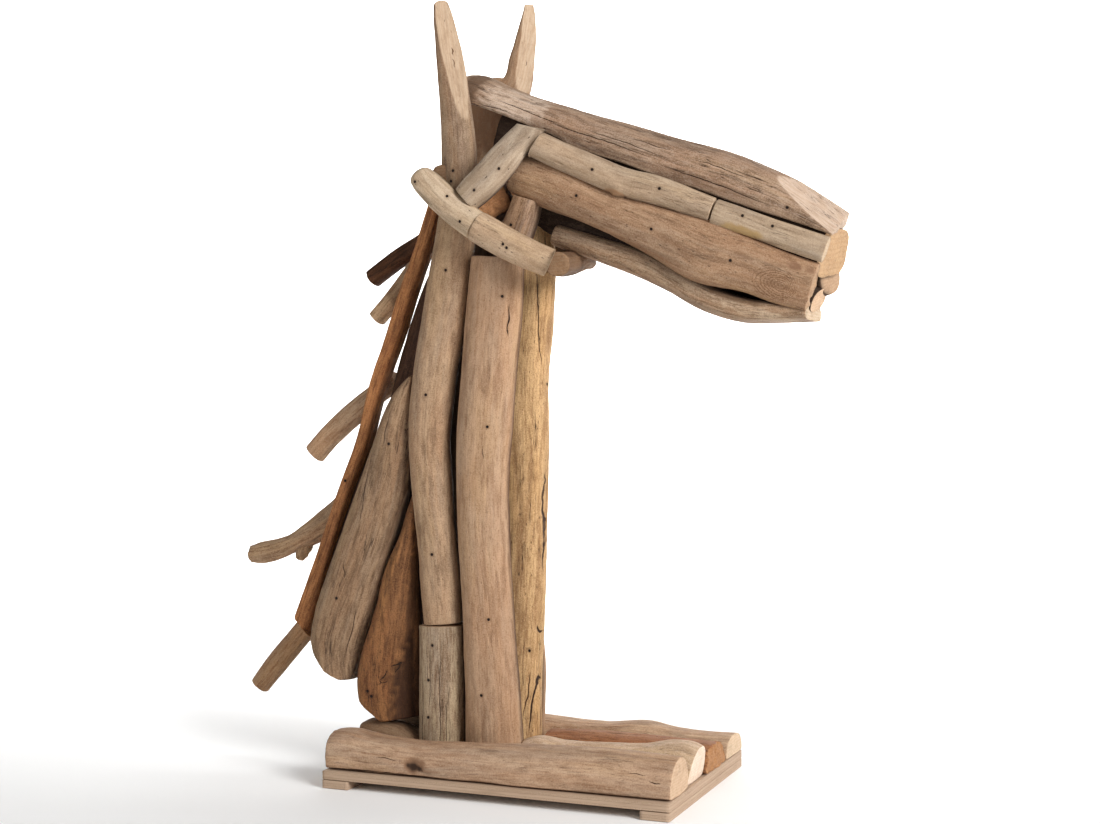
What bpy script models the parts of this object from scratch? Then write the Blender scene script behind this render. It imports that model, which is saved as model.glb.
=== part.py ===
# A horse head of driftwood sticks nailed together, on a stand of half logs over a plywood board.
# Metres, +Z up: the muzzle points along +X, the near side faces -Y, the origin is under the middle.
# The sticks are drawn from the side in millimetres: x and z on a drawing whose board top is at
# drawn_foot, y from the mid plane. The board, its runners and the half logs follow their own sizes.

import bpy
import bmesh
import math
from mathutils import Vector

sculpture_height = 0.819      # from the board's top to the tip of the taller ear
board_width = 0.375           # along X, from the mane's side to the muzzle's side
board_depth = 0.262           # along Y
board_thickness = 0.009
runner_width = 0.030          # along X
runner_height = 0.009
neck_setback = 0.130          # from the board's mane end to the middle of the neck's foot
log_ledge = 0.004             # how far the front half log stays behind the board's front edge
front_log_height = 0.039
row_two_height = 0.040
row_three_height = 0.029
row_three_stub_height = 0.047
back_log_height = 0.0286
row_gap = 0.006               # the dark gaps between the rows of half logs
row_two_depth = 0.053
touching_gap = 0.0003         # between pieces that rest against each other

drawn_height = 819.0
drawn_foot = Vector((130, 0, 18))
foot_half_width = 60.5        # the neck's foot on the drawing, from its middle along X
foot_half_depth = 68.0        # and along Y, out to the faces of the two widest sticks
scale = sculpture_height / drawn_height
gap = touching_gap / scale
foot_level = drawn_foot.z + gap

near = -43.0                  # middle of the near layer of neck sticks
far = 43.0
halter_near = -78.0           # middle of the halter pieces that lie on the near layer
head_roll = (0, -0.975, -0.22)  # the head's own depth axis: its near edge hangs lower
branch_sides = 12

wood = {
    "tan": (0.47, 0.31, 0.19),
    "grey": (0.36, 0.29, 0.22),
    "cream": (0.60, 0.47, 0.31),
    "red": (0.27, 0.12, 0.06),
    "orange": (0.52, 0.29, 0.12),
    "dark": (0.13, 0.08, 0.05),
    "ply": (0.62, 0.47, 0.31),
}

pieces = {}
rooms = {}
cutters = {}


def clear_scene():
    for obj in list(bpy.data.objects):
        bpy.data.objects.remove(obj)


def empty(name, parent=None, location=(0, 0, 0)):
    made = bpy.data.objects.new(name, None)
    bpy.context.scene.collection.objects.link(made)
    made.parent = parent
    made.location = location
    return made


def wood_material(name, tone):
    made = bpy.data.materials.new(name + "_wood")
    made.use_nodes = True
    surface = made.node_tree.nodes["Principled BSDF"]
    surface.inputs["Base Color"].default_value = (*wood[tone], 1.0)
    surface.inputs["Roughness"].default_value = 0.82
    surface.inputs["Metallic"].default_value = 0.0
    return made


def add_piece(name, shape, middle, tone, parent):
    # The mesh keeps its points relative to the piece's own middle.
    bmesh.ops.translate(shape, verts=shape.verts, vec=-middle)
    bmesh.ops.recalc_face_normals(shape, faces=shape.faces)
    mesh = bpy.data.meshes.new(name)
    shape.to_mesh(mesh)
    shape.free()
    obj = bpy.data.objects.new(name, mesh)
    bpy.context.scene.collection.objects.link(obj)
    obj.parent = parent
    obj.location = middle
    mesh.shade_smooth()
    mesh.set_sharp_from_angle(angle=math.radians(40))
    if tone:
        mesh.materials.append(wood_material(name, tone))
    return obj


def block(name, low, high, tone):
    # A straight board between two opposite corners.
    middle = (Vector(low) + Vector(high)) / 2
    shape = bmesh.new()
    bmesh.ops.create_cube(shape, size=1.0)
    bmesh.ops.scale(shape, verts=shape.verts, vec=Vector(high) - Vector(low))
    bmesh.ops.translate(shape, verts=shape.verts, vec=middle)
    add_piece(name, shape, middle, tone, root)


def round_outline():
    # Points around a worn branch, a little squarer than an ellipse.
    points = []
    for k in range(branch_sides):
        c = math.cos(2 * math.pi * (k + 0.5) / branch_sides)
        s = math.sin(2 * math.pi * (k + 0.5) / branch_sides)
        worn = (abs(c) ** 2.4 + abs(s) ** 2.4) ** (-1 / 2.4)
        points.append((0.51 * worn * c, 0.51 * worn * s))
    return points


def half_outline():
    # A half log: a full arch of seven points over a flat underside.
    points = []
    for k in range(7):
        angle = math.pi * (k / 6 - 0.5)
        side = math.copysign(abs(math.sin(angle)) ** 0.85, math.sin(angle))
        points.append((-0.36 + 0.86 * abs(math.cos(angle)) ** 0.85, 0.5 * side))
    points.append((-0.5, 0.46))
    points.append((-0.5, -0.46))
    return points


def plank_outline():
    # A sawn strip with its four corners worn off.
    worn = 0.34
    return [(0.5, -worn), (0.5, worn), (worn, 0.5), (-worn, 0.5),
            (-0.5, worn), (-0.5, -worn), (-worn, -0.5), (worn, -0.5)]


outlines = {"round": round_outline(), "half": half_outline(), "plank": plank_outline()}


def skin(shape, rings):
    # Joins rings of points by faces and closes both ends.
    sides = len(rings[0])
    for low, high in zip(rings, rings[1:]):
        for k in range(sides):
            shape.faces.new((low[k], low[(k + 1) % sides], high[(k + 1) % sides], high[k]))
    bmesh.ops.triangulate(shape, faces=shape.faces[:])
    shape.faces.new(rings[0])
    shape.faces.new(rings[-1])
    bmesh.ops.recalc_face_normals(shape, faces=shape.faces)


def cut_flat(shape, place, facing, grow):
    # Takes away what is beyond a plane and closes the sawn face.
    normal = Vector(facing).normalized()
    everything = shape.verts[:] + shape.edges[:] + shape.faces[:]
    bmesh.ops.bisect_plane(shape, geom=everything, dist=0.001, plane_co=Vector(place) + grow * normal,
                           plane_no=normal, clear_outer=True)
    rim = [edge for edge in shape.edges if edge.is_boundary]
    bmesh.ops.holes_fill(shape, edges=rim, sides=0)
    bmesh.ops.recalc_face_normals(shape, faces=shape.faces)


def stick_shape(stations, form, deep_axis, wear, cuts, grow):
    # A ring of the outline at each station, square to the way the stick runs there.
    points = [Vector(station[:3]) for station in stations]
    last = len(points) - 1
    shape = bmesh.new()
    rings = []
    for i, station in enumerate(stations):
        along = (points[min(i + 1, last)] - points[max(i - 1, 0)]).normalized()
        deep = (deep_axis - deep_axis.dot(along) * along).normalized()
        wide = deep.cross(along)
        centre = points[i]
        if i == 0:
            centre = centre - grow * along
        if i == last:
            centre = centre + grow * along
        width = station[3] + 2 * grow
        depth = station[4] + 2 * grow
        ring = []
        for a, b in outlines[form]:
            turn = math.atan2(b, a)
            bump = 1 + 0.03 * math.sin(2 * turn + wear + 1.1 * i) + 0.02 * math.sin(3 * turn + 2 * wear - i)
            ring.append(shape.verts.new(centre + width * a * bump * wide + depth * b * bump * deep))
        rings.append(ring)
    skin(shape, rings)
    for place, facing in cuts:
        cut_flat(shape, place, facing, grow)
    bmesh.ops.translate(shape, verts=shape.verts, vec=-drawn_foot)
    bmesh.ops.scale(shape, verts=shape.verts, vec=(scale, scale, scale))
    return shape


def stick(name, stations, tone, form="round", deep=(0, 1, 0), wear=0.0, cuts=()):
    # One stick through its stations (x, y, z, width, depth).
    middle = (Vector(stations[len(stations) // 2][:3]) - drawn_foot) * scale
    shape = stick_shape(stations, form, Vector(deep), wear, cuts, 0.0)
    pieces[name] = add_piece(name, shape, middle, tone, sculpture)

    def room():
        bigger = stick_shape(stations, form, Vector(deep), wear, cuts, gap)
        cutter = add_piece(name + "_room", bigger, middle, None, sculpture)
        cutter.hide_render = True
        cutter.display_type = "WIRE"
        return cutter

    rooms[name] = room


def layer(side_view, y, depth):
    # Stations drawn from the side, as (x, z, width), in one layer of the sculpture.
    return [(x, y, z, width, depth) for x, z, width in side_view]


def mirrored(stations, shift=0.0):
    return [(x + shift, -y, z, width, depth) for x, y, z, width, depth in stations]


def trim(name, *others):
    # Cuts the room that each other piece takes, with the touching gap around it.
    for other in others:
        if other not in cutters:
            cutters[other] = rooms[other]()
        cut = pieces[name].modifiers.new("room_for_" + other, "BOOLEAN")
        cut.operation = "DIFFERENCE"
        cut.solver = "EXACT"
        cut.object = cutters[other]


def grow_on(name, stub_name, shape):
    # Joins the stub of a broken side branch to a stick.
    stub = add_piece(stub_name, shape, pieces[name].location.copy(), None, sculpture)
    stub.hide_render = True
    stub.display_type = "WIRE"
    joined = pieces[name].modifiers.new(stub_name, "BOOLEAN")
    joined.operation = "UNION"
    joined.solver = "EXACT"
    joined.object = stub


def make_board():
    half = board_depth / 2
    under = runner_height - touching_gap
    block("base_board", (0, -half, runner_height), (board_width, half, board_top), "ply")
    block("runner_mane_end", (0, -half, 0), (runner_width, half, under), "ply")
    block("runner_muzzle_end", (board_width - runner_width, -half, 0), (board_width, half, under), "ply")


def half_log(name, x_range, y_range, height, crest, tone, wear):
    # A half log on the board along X. The crest gives (share of length, share of height).
    x_low, x_high = x_range
    y_low, y_high = y_range
    bottom = board_top + touching_gap
    shape = bmesh.new()
    rings = []
    for i, (along, high) in enumerate(crest):
        ring = []
        for a, b in outlines["half"]:
            bump = 1 + 0.02 * math.sin(5 * b + wear + 1.3 * i) if a > -0.5 else 1
            x = x_low + along * (x_high - x_low)
            y = (y_low + y_high) / 2 + (y_high - y_low) * b * min(bump, 1)
            ring.append(shape.verts.new((x, y, bottom + height * high * (a + 0.5) * bump)))
        rings.append(ring)
    skin(shape, rings)
    add_piece(name, shape, Vector(((x_low + x_high) / 2, (y_low + y_high) / 2, bottom)), tone, root)


def make_base_logs():
    # Rows one and four run the full length. Rows two and three stop on both sides of the neck's foot.
    front = -foot_half_depth * scale - touching_gap
    row_two = (front + row_gap, front + row_gap + row_two_depth)
    back = foot_half_depth * scale + touching_gap
    row_three = (row_two[1] + row_gap / 2, back - row_gap)
    mane_side = (0, neck_setback - foot_half_width * scale - touching_gap)
    muzzle_side = (neck_setback + foot_half_width * scale + touching_gap, board_width)
    full = (0, board_width)
    half_log("log_front", full, (log_ledge - board_depth / 2, front), front_log_height,
             ((0, 0.92), (0.03, 0.96), (0.13, 0.85), (0.26, 0.80), (0.43, 0.87), (0.61, 0.95), (0.78, 1),
              (0.89, 0.99), (1, 0.93)), "tan", 0.4)
    half_log("log_two_muzzle", muzzle_side, row_two, row_two_height,
             ((0, 0.74), (0.05, 0.82), (0.2, 0.76), (0.45, 0.78), (0.72, 0.84), (0.88, 1), (0.95, 0.99),
              (1, 0.9)),
             "cream", 1.7)
    half_log("log_two_mane", mane_side, row_two, row_two_height,
             ((0, 0.80), (0.18, 1), (0.45, 0.95), (0.75, 0.80), (1, 0.5)), "tan", 2.9)
    half_log("log_three_muzzle", muzzle_side, row_three, row_three_height,
             ((0, 0.93), (0.3, 1), (0.75, 0.97), (1, 0.93)), "red", 0.9)
    half_log("log_three_mane", mane_side, row_three, row_three_stub_height,
             ((0, 0.62), (0.35, 0.72), (0.7, 0.95), (1, 1)), "grey", 4.1)
    half_log("log_back", full, (back, board_depth / 2), back_log_height,
             ((0, 0.85), (0.2, 0.93), (0.41, 0.96), (0.5, 0.89), (0.6, 0.86), (0.75, 1), (0.8, 0.88),
              (1, 0.8)),
             "cream", 5.2)


def make_neck_near():
    long_stick = [(118, near, 622, 37, 34), (108, near, 554, 44, 38), (97, near, 483, 48, 39),
                  (86, near, 422, 48, 39), (80, near, 353, 45, 38), (83, near, 310, 44, 38),
                  (89.5, near, 252, 42, 37), (97, near, 158, 41, 37)]
    stick("neck_near_long", long_stick, "grey", wear=0.5,
          cuts=(((118, near, 617), (0, 0, 1)), ((97, near, 163.5), (0, 0, -1))))
    stick("neck_near_stub", layer([(94.5, 166, 49), (95.5, 104, 50), (95.5, 15, 50)], near, 38), "grey",
          wear=1.4, cuts=(((94, near, 162.5), (0, 0, 1)), ((95, near, foot_level), (0, 0, -1))))
    widest = layer([(161, 556, 56), (156, 492, 60), (150, 426, 59), (145, 358, 59), (143.5, 296, 55),
                    (145, 248, 55), (149, 186, 55), (152.5, 128, 57), (157, 45, 62),
                    (158, 14, 63)], near - 2, 43)
    stick("neck_near_wide", widest, "tan", wear=2.2,
          cuts=(((161, near, 549), (0, 0, 1)), ((158, near, foot_level), (0, 0, -1))))
    slanting = layer([(49, 427, 6), (45.7, 419, 19), (38.5, 391, 32), (28, 339, 43), (10, 267.5, 50),
                      (-10.5, 206, 52),
                      (-28, 155, 55), (-33, 132, 48), (-30, 113, 36), (-23, 98, 22)], near + 4, 34)
    stick("neck_near_slanting", slanting, "grey", wear=3.1)
    wedge = layer([(59, 298, 5), (53, 258, 20), (46, 215, 35), (39, 160, 52), (33, 111, 67), (33, 89, 69),
                   (37, 74, 60), (43, 62, 44)], near + 4, 30)
    stick("neck_near_wedge", wedge, "red", wear=3.9, cuts=(((38, near, 57.8), (0, 0, -1)),))
    return long_stick, widest, slanting, wedge


def make_neck_middle():
    stick("neck_front", layer([(178, 598, 50), (178, 533, 56), (174, 486, 58), (169.5, 433, 58),
                               (168.5, 347, 58),
                               (167.5, 272, 58), (165, 186, 57), (161.5, 122, 57), (160, 14, 57)], 0, 43),
          "orange", wear=0.9, cuts=(((177, 0, 594), (-0.1, 0, 1)), ((160, 0, foot_level), (0, 0, -1))))
    stick("neck_back", layer([(95, 560, 40), (81, 526, 47), (53.5, 452, 48), (33, 397, 47), (11, 346, 46),
                              (-17, 274, 47), (-40, 216, 46), (-60, 165, 42), (-70, 138, 26)], 0, 43),
          "dark", wear=2.4)
    stick("neck_short_post", layer([(190.5, 616, 27), (185, 596, 29), (178, 573, 33),
                                    (169, 545, 35)], near + 4, 31),
          "grey", "plank", wear=1.1, cuts=(((169, near, 549.5), (0, 0, -1)),))
    stick("neck_cross_log", [(138, -22, 614, 54, 48), (138, 0, 613, 55, 49), (138, 22, 614, 54, 48)],
          "red", "plank", deep=(1, 0, 0.5), wear=0.3)


def make_neck_far(long_stick, widest, slanting, wedge):
    # The far side repeats the near side's sticks, plainer.
    down_to_board = mirrored(long_stick, -10)[:-1] + [(91, far, 120, 43, 37), (93, far, 14, 43, 37)]
    stick("neck_far_long", down_to_board, "grey", wear=4.4,
          cuts=(((108, far, 617), (0, 0, 1)), ((92, far, foot_level), (0, 0, -1))))
    wide_foot = [(147, far + 2, 128, 57, 43), (146, far + 2, 45, 56, 43), (145.5, far + 2, 14, 56, 43)]
    stick("neck_far_wide", mirrored(widest, -10)[:-3] + wide_foot, "tan", wear=5.3,
          cuts=(((151, far, 552), (0, 0, 1)), ((148, far, foot_level), (0, 0, -1))))
    stick("neck_far_slanting", mirrored(slanting), "grey", wear=0.2)
    stick("neck_far_wedge", mirrored(wedge), "red", wear=1.6, cuts=(((38, far, 66), (0, 0, -1)),))
    trim("neck_far_slanting", "neck_far_long")
    trim("neck_far_wedge", "neck_far_long", "neck_far_slanting")
    trim("neck_far_wide", "neck_far_long")


def make_mane():
    stick("mane_strip", layer([(79, 626, 14), (71.5, 602, 14), (60, 568, 16), (40, 516, 17), (22, 465, 16.5),
                               (4.5, 420, 16), (-15.5, 352, 15), (-35.5, 303, 15), (-65.5, 221, 17),
                               (-93, 147, 21),
                               (-97, 136, 20)], -13, 23), "red", "plank", wear=0.6)
    behind = 12.5
    stick("mane_stick_1", layer([(-18.5, 537, 21), (14.5, 558, 22), (52, 578, 21),
                                 (86, 598, 20)], behind, 22),
          "dark", wear=0.8)
    stick("mane_stick_2", layer([(-13, 490, 20), (-2, 505, 21), (14, 526, 22), (38, 559, 22)], behind, 22),
          "cream", wear=1.9)
    stick("mane_stick_3", layer([(-95, 341, 20), (-73, 361, 25), (-45, 384, 25), (-14, 407, 23),
                                 (14, 424, 22)],
                                behind, 22), "tan", wear=2.6)
    stick("mane_stick_4", layer([(-172, 221, 19), (-155, 227, 22), (-127, 238, 25), (-87, 260, 26),
                                 (-58, 281, 24),
                                 (-36, 300, 22)], behind, 22), "grey", wear=3.3)
    stick("mane_stick_5", layer([(-164, 73, 23), (-138, 104, 26), (-105, 140, 25),
                                 (-78, 168, 24)], behind, 22),
          "tan", wear=4.5)
    stub = stick_shape(layer([(-109, 247, 18), (-108.5, 233, 16), (-109.5, 219, 10)], behind, 12), "round",
                       Vector((0, 1, 0)), 1.2, (), 0.0)
    grow_on("mane_stick_4", "mane_stick_4_stub", stub)
    trim("neck_back", "mane_strip", "neck_near_slanting", "neck_far_slanting")
    trim("mane_stick_2", "mane_stick_1")
    for number in (3, 4, 5):
        trim("mane_stick_%d" % number, "neck_back")


def make_halter():
    back = layer([(86, 638, 16), (89, 631, 26), (101, 619, 31), (125.5, 597, 30),
                  (151.5, 579, 31)], halter_near, 27)
    stick("halter_near_back", back, "cream", wear=0.7)
    stick("halter_near_front", layer([(152, 578.5, 31), (183, 561, 32), (208.5, 548.5, 31), (236, 537.5, 27)],
                                     halter_near - 2, 26), "cream", wear=1.3)
    cheek = layer([(205, 679, 26), (191.5, 663, 33), (176, 648, 37), (156, 630, 37),
                   (133, 609, 28)], halter_near, 26)
    stick("halter_near_cheek", cheek, "cream", wear=2.1)
    stick("halter_throat", [(235.5, -66, 538, 25, 25), (234, -40, 540, 25, 25), (233, 10, 549, 23, 23),
                            (232, 50, 556, 14, 18)], "tan", deep=(1, 0, 0), wear=2.8)
    stick("halter_crown", [(86, -61, 639, 22, 22), (85, 0, 640, 23, 23), (86, 61, 639, 22, 22)],
          "orange", deep=(1, 0, 0), wear=3.6)
    stick("halter_far_back", mirrored(back), "cream", wear=4.2)
    stick("halter_far_front", layer([(152, 578.5, 31), (180, 563, 32), (200, 553, 28)], -halter_near, 26),
          "cream", wear=4.9)
    stick("halter_far_cheek", mirrored(cheek), "cream", wear=5.6)
    for side in ("near", "far"):
        trim("halter_%s_front" % side, "halter_%s_back" % side)
        trim("halter_%s_cheek" % side, "halter_%s_back" % side, "halter_%s_front" % side)
    trim("halter_throat", "halter_near_front", "halter_far_front")


def make_ears():
    # Each ear is a split stick with one sawn face turned forward and outward.
    near_ear = [(106, -72, 816, 13, 9), (107.5, -71, 805, 17, 14), (111, -68.5, 785, 23, 18),
                (113.5, -63, 756, 28.5, 22), (115.5, -56, 715, 33, 26), (116.5, -47, 664, 38, 29),
                (116, -42, 612, 38, 30)]
    far_ear = [(147, 69, 841, 11, 9), (147, 67, 825, 17, 14), (145.5, 65, 807, 22, 17),
               (143, 59, 778, 28, 20),
               (139, 54, 744, 35, 24), (126, 50, 722, 58, 26), (119, 48, 699, 68, 27),
               (116, 43, 655, 54, 29), (115, 42, 612, 48, 30)]
    stick("ear_near", near_ear, "grey", wear=0.9,
          cuts=(((116, -71, 729), (0.69, -0.72, 0.07)), ((116, near, 617.5), (0, 0, -1))))
    stick("ear_far", far_ear, "tan", wear=1.8,
          cuts=(((144.5, 40, 747), (0.63, -0.75, 0.22)), ((119, far, 617.5), (0, 0, -1))))


def make_head():
    stick("head_top", [(104, 0, 741, 28, 56), (112, 0, 740, 31, 68), (147, 0, 727, 28, 74),
                       (180, 0, 713, 27, 76),
                       (220, 0, 698, 28, 77), (299, 0, 666, 35, 78), (350, 0, 646, 39, 78),
                       (397, 0, 630.5, 43, 78),
                       (422, 0, 620.5, 43, 78), (454, 0, 607, 39, 77), (484, 0, 591, 29, 76),
                       (513, 0, 575, 19, 75)],
          "grey", "half", deep=head_roll, wear=0.3, cuts=(((452, 0, 631), (0.62, -0.35, 0.70)),))
    stick("head_near_strip_back", [(197, -48, 669, 23, 26), (228, -47, 656, 25, 26), (265, -46, 635, 29, 25),
                                   (309, -45, 617, 28, 23), (357, -43, 602, 25, 20), (391, -41, 589, 25, 18)],
          "cream", wear=1.2)
    stick("head_near_strip_front", [(392, -41, 587, 26, 18), (427, -40, 574, 25, 16),
                                    (465, -39, 559.5, 26, 15),
                                    (504.5, -38, 545, 25, 14)], "cream", wear=2.0)
    near_cheek = [(175, -46, 638, 33, 28), (186, -45, 634, 42, 33), (219, -44, 620, 50, 33),
                  (259, -43, 600, 45, 31),
                  (307, -42, 580, 49, 28), (341, -41, 567, 52, 26), (381, -40, 550, 57, 23),
                  (428, -38, 532, 52, 19),
                  (466, -37, 517, 50, 17), (491.5, -37, 509, 48, 16)]
    stick("head_near_cheek", near_cheek, "tan", wear=2.7)
    stick("head_far_strip", [(199, 48, 668, 23, 26), (265, 46, 637, 28, 25), (357, 43, 601, 25, 14),
                             (430, 43, 572, 25, 12), (503, 43, 549, 25, 11)], "cream", wear=3.5)
    stick("head_far_cheek", [(175, 45, 638, 40, 30), (186, 45, 632, 52, 33), (219, 45, 611, 64, 33),
                             (307, 43, 570, 62, 28), (381, 40, 537, 66, 27), (440, 33, 521, 56, 34),
                             (496, 21, 520, 27, 50)], "tan", deep=head_roll, wear=4.3)
    stick("head_upper_core", [(150, 0, 688, 48, 50), (300, 0, 628, 48, 54), (390, 2, 590, 47, 58),
                              (506, 4, 544, 46, 64)],
          "orange", deep=head_roll, wear=5.0)
    stick("head_lower_core", [(330, 0, 551, 20, 44), (430, 0, 518, 21, 48), (489, 0, 497.5, 21, 50)],
          "orange", deep=head_roll, wear=5.8)
    stick("head_jaw", [(217, -1, 573, 23, 70), (267, -1, 555.5, 26, 73), (308, -1, 540.5, 28, 74),
                       (347, -1, 521, 27, 74),
                       (380, -1, 502, 25, 74), (410, -1, 488, 17, 74), (442, -1, 484.5, 12, 74),
                       (484, -1, 483.5, 10, 73)],
          "grey", "plank", wear=0.5)
    trim("head_near_cheek", "head_near_strip_back", "head_near_strip_front", "head_jaw")
    trim("head_far_cheek", "head_far_strip", "head_upper_core", "head_jaw")
    trim("head_lower_core", "head_far_cheek", "head_near_cheek", "head_jaw")
    for name in ("head_near_strip_back", "head_near_strip_front", "head_far_strip", "head_upper_core"):
        trim(name, "head_top")
    trim("neck_short_post", "head_near_cheek")
    trim("neck_cross_log", "neck_front")
    trim("halter_throat", "head_jaw")
    trim("halter_crown", "ear_near", "ear_far")


def centre_on_origin():
    # Moves the root so that the whole object's box stands on the origin.
    bpy.context.view_layer.update()
    graph = bpy.context.evaluated_depsgraph_get()
    xs = []
    ys = []
    for obj in bpy.data.objects:
        if obj.type == "MESH" and not obj.hide_render:
            shown = obj.evaluated_get(graph)
            corners = [shown.matrix_world @ Vector(corner) for corner in shown.bound_box]
            xs += [corner.x for corner in corners]
            ys += [corner.y for corner in corners]
    root.location = (-(min(xs) + max(xs)) / 2, -(min(ys) + max(ys)) / 2, 0)


clear_scene()
board_top = runner_height + board_thickness
root = empty("root")
sculpture = empty("sculpture", root, (neck_setback, 0, board_top))
make_board()
make_base_logs()
near_sticks = make_neck_near()
make_neck_middle()
make_neck_far(*near_sticks)
make_mane()
make_halter()
make_ears()
make_head()
centre_on_origin()
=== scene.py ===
# A horse head of driftwood sticks on a stand of half logs: worn sticks, sawn ends, nail holes and raw plywood.
import bpy
import numpy as np
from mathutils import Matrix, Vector


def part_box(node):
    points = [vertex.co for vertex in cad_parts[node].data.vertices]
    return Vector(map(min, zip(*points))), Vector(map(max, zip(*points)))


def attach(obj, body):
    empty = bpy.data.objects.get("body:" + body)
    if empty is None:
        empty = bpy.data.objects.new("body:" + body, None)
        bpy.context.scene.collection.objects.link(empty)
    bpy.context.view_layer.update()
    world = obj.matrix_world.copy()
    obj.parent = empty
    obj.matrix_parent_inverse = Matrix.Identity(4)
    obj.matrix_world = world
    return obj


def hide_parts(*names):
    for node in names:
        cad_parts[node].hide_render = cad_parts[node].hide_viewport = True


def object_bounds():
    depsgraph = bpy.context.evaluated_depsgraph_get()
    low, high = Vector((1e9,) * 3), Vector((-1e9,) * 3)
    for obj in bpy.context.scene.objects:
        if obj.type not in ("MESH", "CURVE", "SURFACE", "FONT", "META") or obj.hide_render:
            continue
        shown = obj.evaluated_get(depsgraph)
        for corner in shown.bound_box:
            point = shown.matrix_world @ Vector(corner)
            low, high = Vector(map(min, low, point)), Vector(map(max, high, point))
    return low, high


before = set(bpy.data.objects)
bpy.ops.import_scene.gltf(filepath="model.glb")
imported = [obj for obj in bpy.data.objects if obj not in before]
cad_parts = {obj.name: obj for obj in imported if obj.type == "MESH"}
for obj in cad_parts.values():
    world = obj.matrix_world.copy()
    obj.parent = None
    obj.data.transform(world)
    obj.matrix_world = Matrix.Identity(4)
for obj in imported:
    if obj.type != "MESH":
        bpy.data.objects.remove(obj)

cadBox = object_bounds()
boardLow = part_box("base_board")[0]

# The sticks are drawn in millimetres: x from the board's mane end, y from the mid plane, z from the floor.
drawing = dict(
    shift=np.array([boardLow.x * 1000, 0, 0]),
    near=-43,  # middle of the near layer of neck sticks
    far=43,
    halter=-78,  # middle of the halter sticks on the near side
    headRoll=(0, -0.975, -0.22),  # the head's own depth axis: its near edge hangs lower
)
near, far, halterNear = drawing["near"], drawing["far"], drawing["halter"]
headRoll = drawing["headRoll"]

noiseTable = np.random.default_rng(41).random((48, 48, 48)).astype(np.float32)


def softNoise(points):
    # Random values on a grid of cells, blended by t*t*(3-2t) between the eight corners of the cell; from -1 to 1.
    cell = np.floor(points).astype(int)
    t = points - cell
    t = t * t * (3 - 2 * t)
    low, high = cell % 48, (cell + 1) % 48
    total = 0.0
    for x, wx in ((low[..., 0], 1 - t[..., 0]), (high[..., 0], t[..., 0])):
        for y, wy in ((low[..., 1], 1 - t[..., 1]), (high[..., 1], t[..., 1])):
            pair = noiseTable[x, y, low[..., 2]] * (1 - t[..., 2]) + noiseTable[x, y, high[..., 2]] * t[..., 2]
            total = total + wx * wy * pair
    return 2 * total - 1


def smoothStep(value, low, high):
    t = np.clip((value - low) / (high - low), 0, 1)
    return t * t * (3 - 2 * t)


def followRows(rows, at):
    # Cubic Hermite curve through the rows, read at the given lengths; a row's slope is the one between its neighbours.
    rows = np.array(rows, float)
    gaps = np.linalg.norm(np.diff(rows[:, :3], axis=0), axis=1)
    where = np.concatenate([[0], np.cumsum(gaps)])
    slopes = np.gradient(rows, where, axis=0)
    k = np.clip(np.searchsorted(where, at, side="right") - 1, 0, len(gaps) - 1)
    h = gaps[k][:, None]
    t = (np.asarray(at) - where[k])[:, None] / h
    return ((2 * t**3 - 3 * t**2 + 1) * rows[k] + (t**3 - 2 * t**2 + t) * h * slopes[k]
            + (3 * t**2 - 2 * t**3) * rows[k + 1] + (t**3 - t**2) * h * slopes[k + 1])


def sectionRing(form, count):
    # A section of width 1 and depth 1 going once round: a squared circle, or for a half log an arch over a flat side.
    turn = 2 * np.pi * (np.arange(count) + 0.5) / count
    c, s = np.cos(turn), np.sin(turn)
    if form == "half":
        arch = np.where(c >= 0, -0.36 + 0.86 * np.abs(c) ** 0.85, -0.36 - 0.14 * np.abs(c) ** 0.35)
        return arch, 0.5 * np.sign(s) * np.abs(s) ** 0.85
    power = {"round": 2.3, "plank": 4.0, "board": 40.0}[form]
    worn = 0.5 * (np.abs(c) ** power + np.abs(s) ** power) ** (-1 / power)
    return worn * c, worn * s


stickDefaults = dict(
    form="round",
    deep=(0, 1, 0),  # the way its depth is measured
    ends=(1.6, 1.6),  # rounding of the two ends, mm
    domed=(0, 0),  # 1 for a worn round end, 0 for a sawn one
    ragged=(0, 0),  # how broken the two ends are, mm
    cuts=(),  # sawn planes: a point, and the way out of the wood
    cracks=(),  # on the near side: x and z of both ends, width mm, depth mm
    knots=(),  # x, z, radius mm, height mm (below 0 for a hole)
    spots=(),  # kind (pale, warm, or the dark kind: mostly painted shade, some dark marks round knots), x, z, length along, width across, share
    eyes=(),  # rings round an old branch: x, z, length, width
    nails=(),  # x and z of nail holes on the near side
    lumps=0.85, ridges=0.6, fine=0.2,  # height of the worn surface, mm
    stainAndShade=1,  # painted shade: how dark the side that faces the middle layer is
    step=(2.6, 1.5),  # mesh size along and round, mm
    seed=0,  # another draw of the same surface
)
# Sizes in mm along, across and into the wood of what wears a stick; capShrink sets the rings that close an end.
wear = dict(
    lumps=(55, 21, 21), ridges=(42, 5.6, 5.6), fibres=(19, 2.7, 2.7), fine=(9, 1.5, 1.5), torn=(40, 5, 5),
    waver=4.5,  # size of the wobble in cracks, knots and spots
    sawMarks=(7, 0.16),  # size and height
    innerFrom=20,  # sticks further than this from the mid plane get painted shade on their inner side
)
capShrink = np.array([0.16, 0.32, 0.48, 0.62, 0.74, 0.84, 0.91, 0.96, 0.987])
capRings = len(capShrink)
sawnPower, domedPower = 7.0, 2.0  # a high power gives a flat end
meshLimits = (24, 230)  # fewest and most points round a stick


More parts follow.
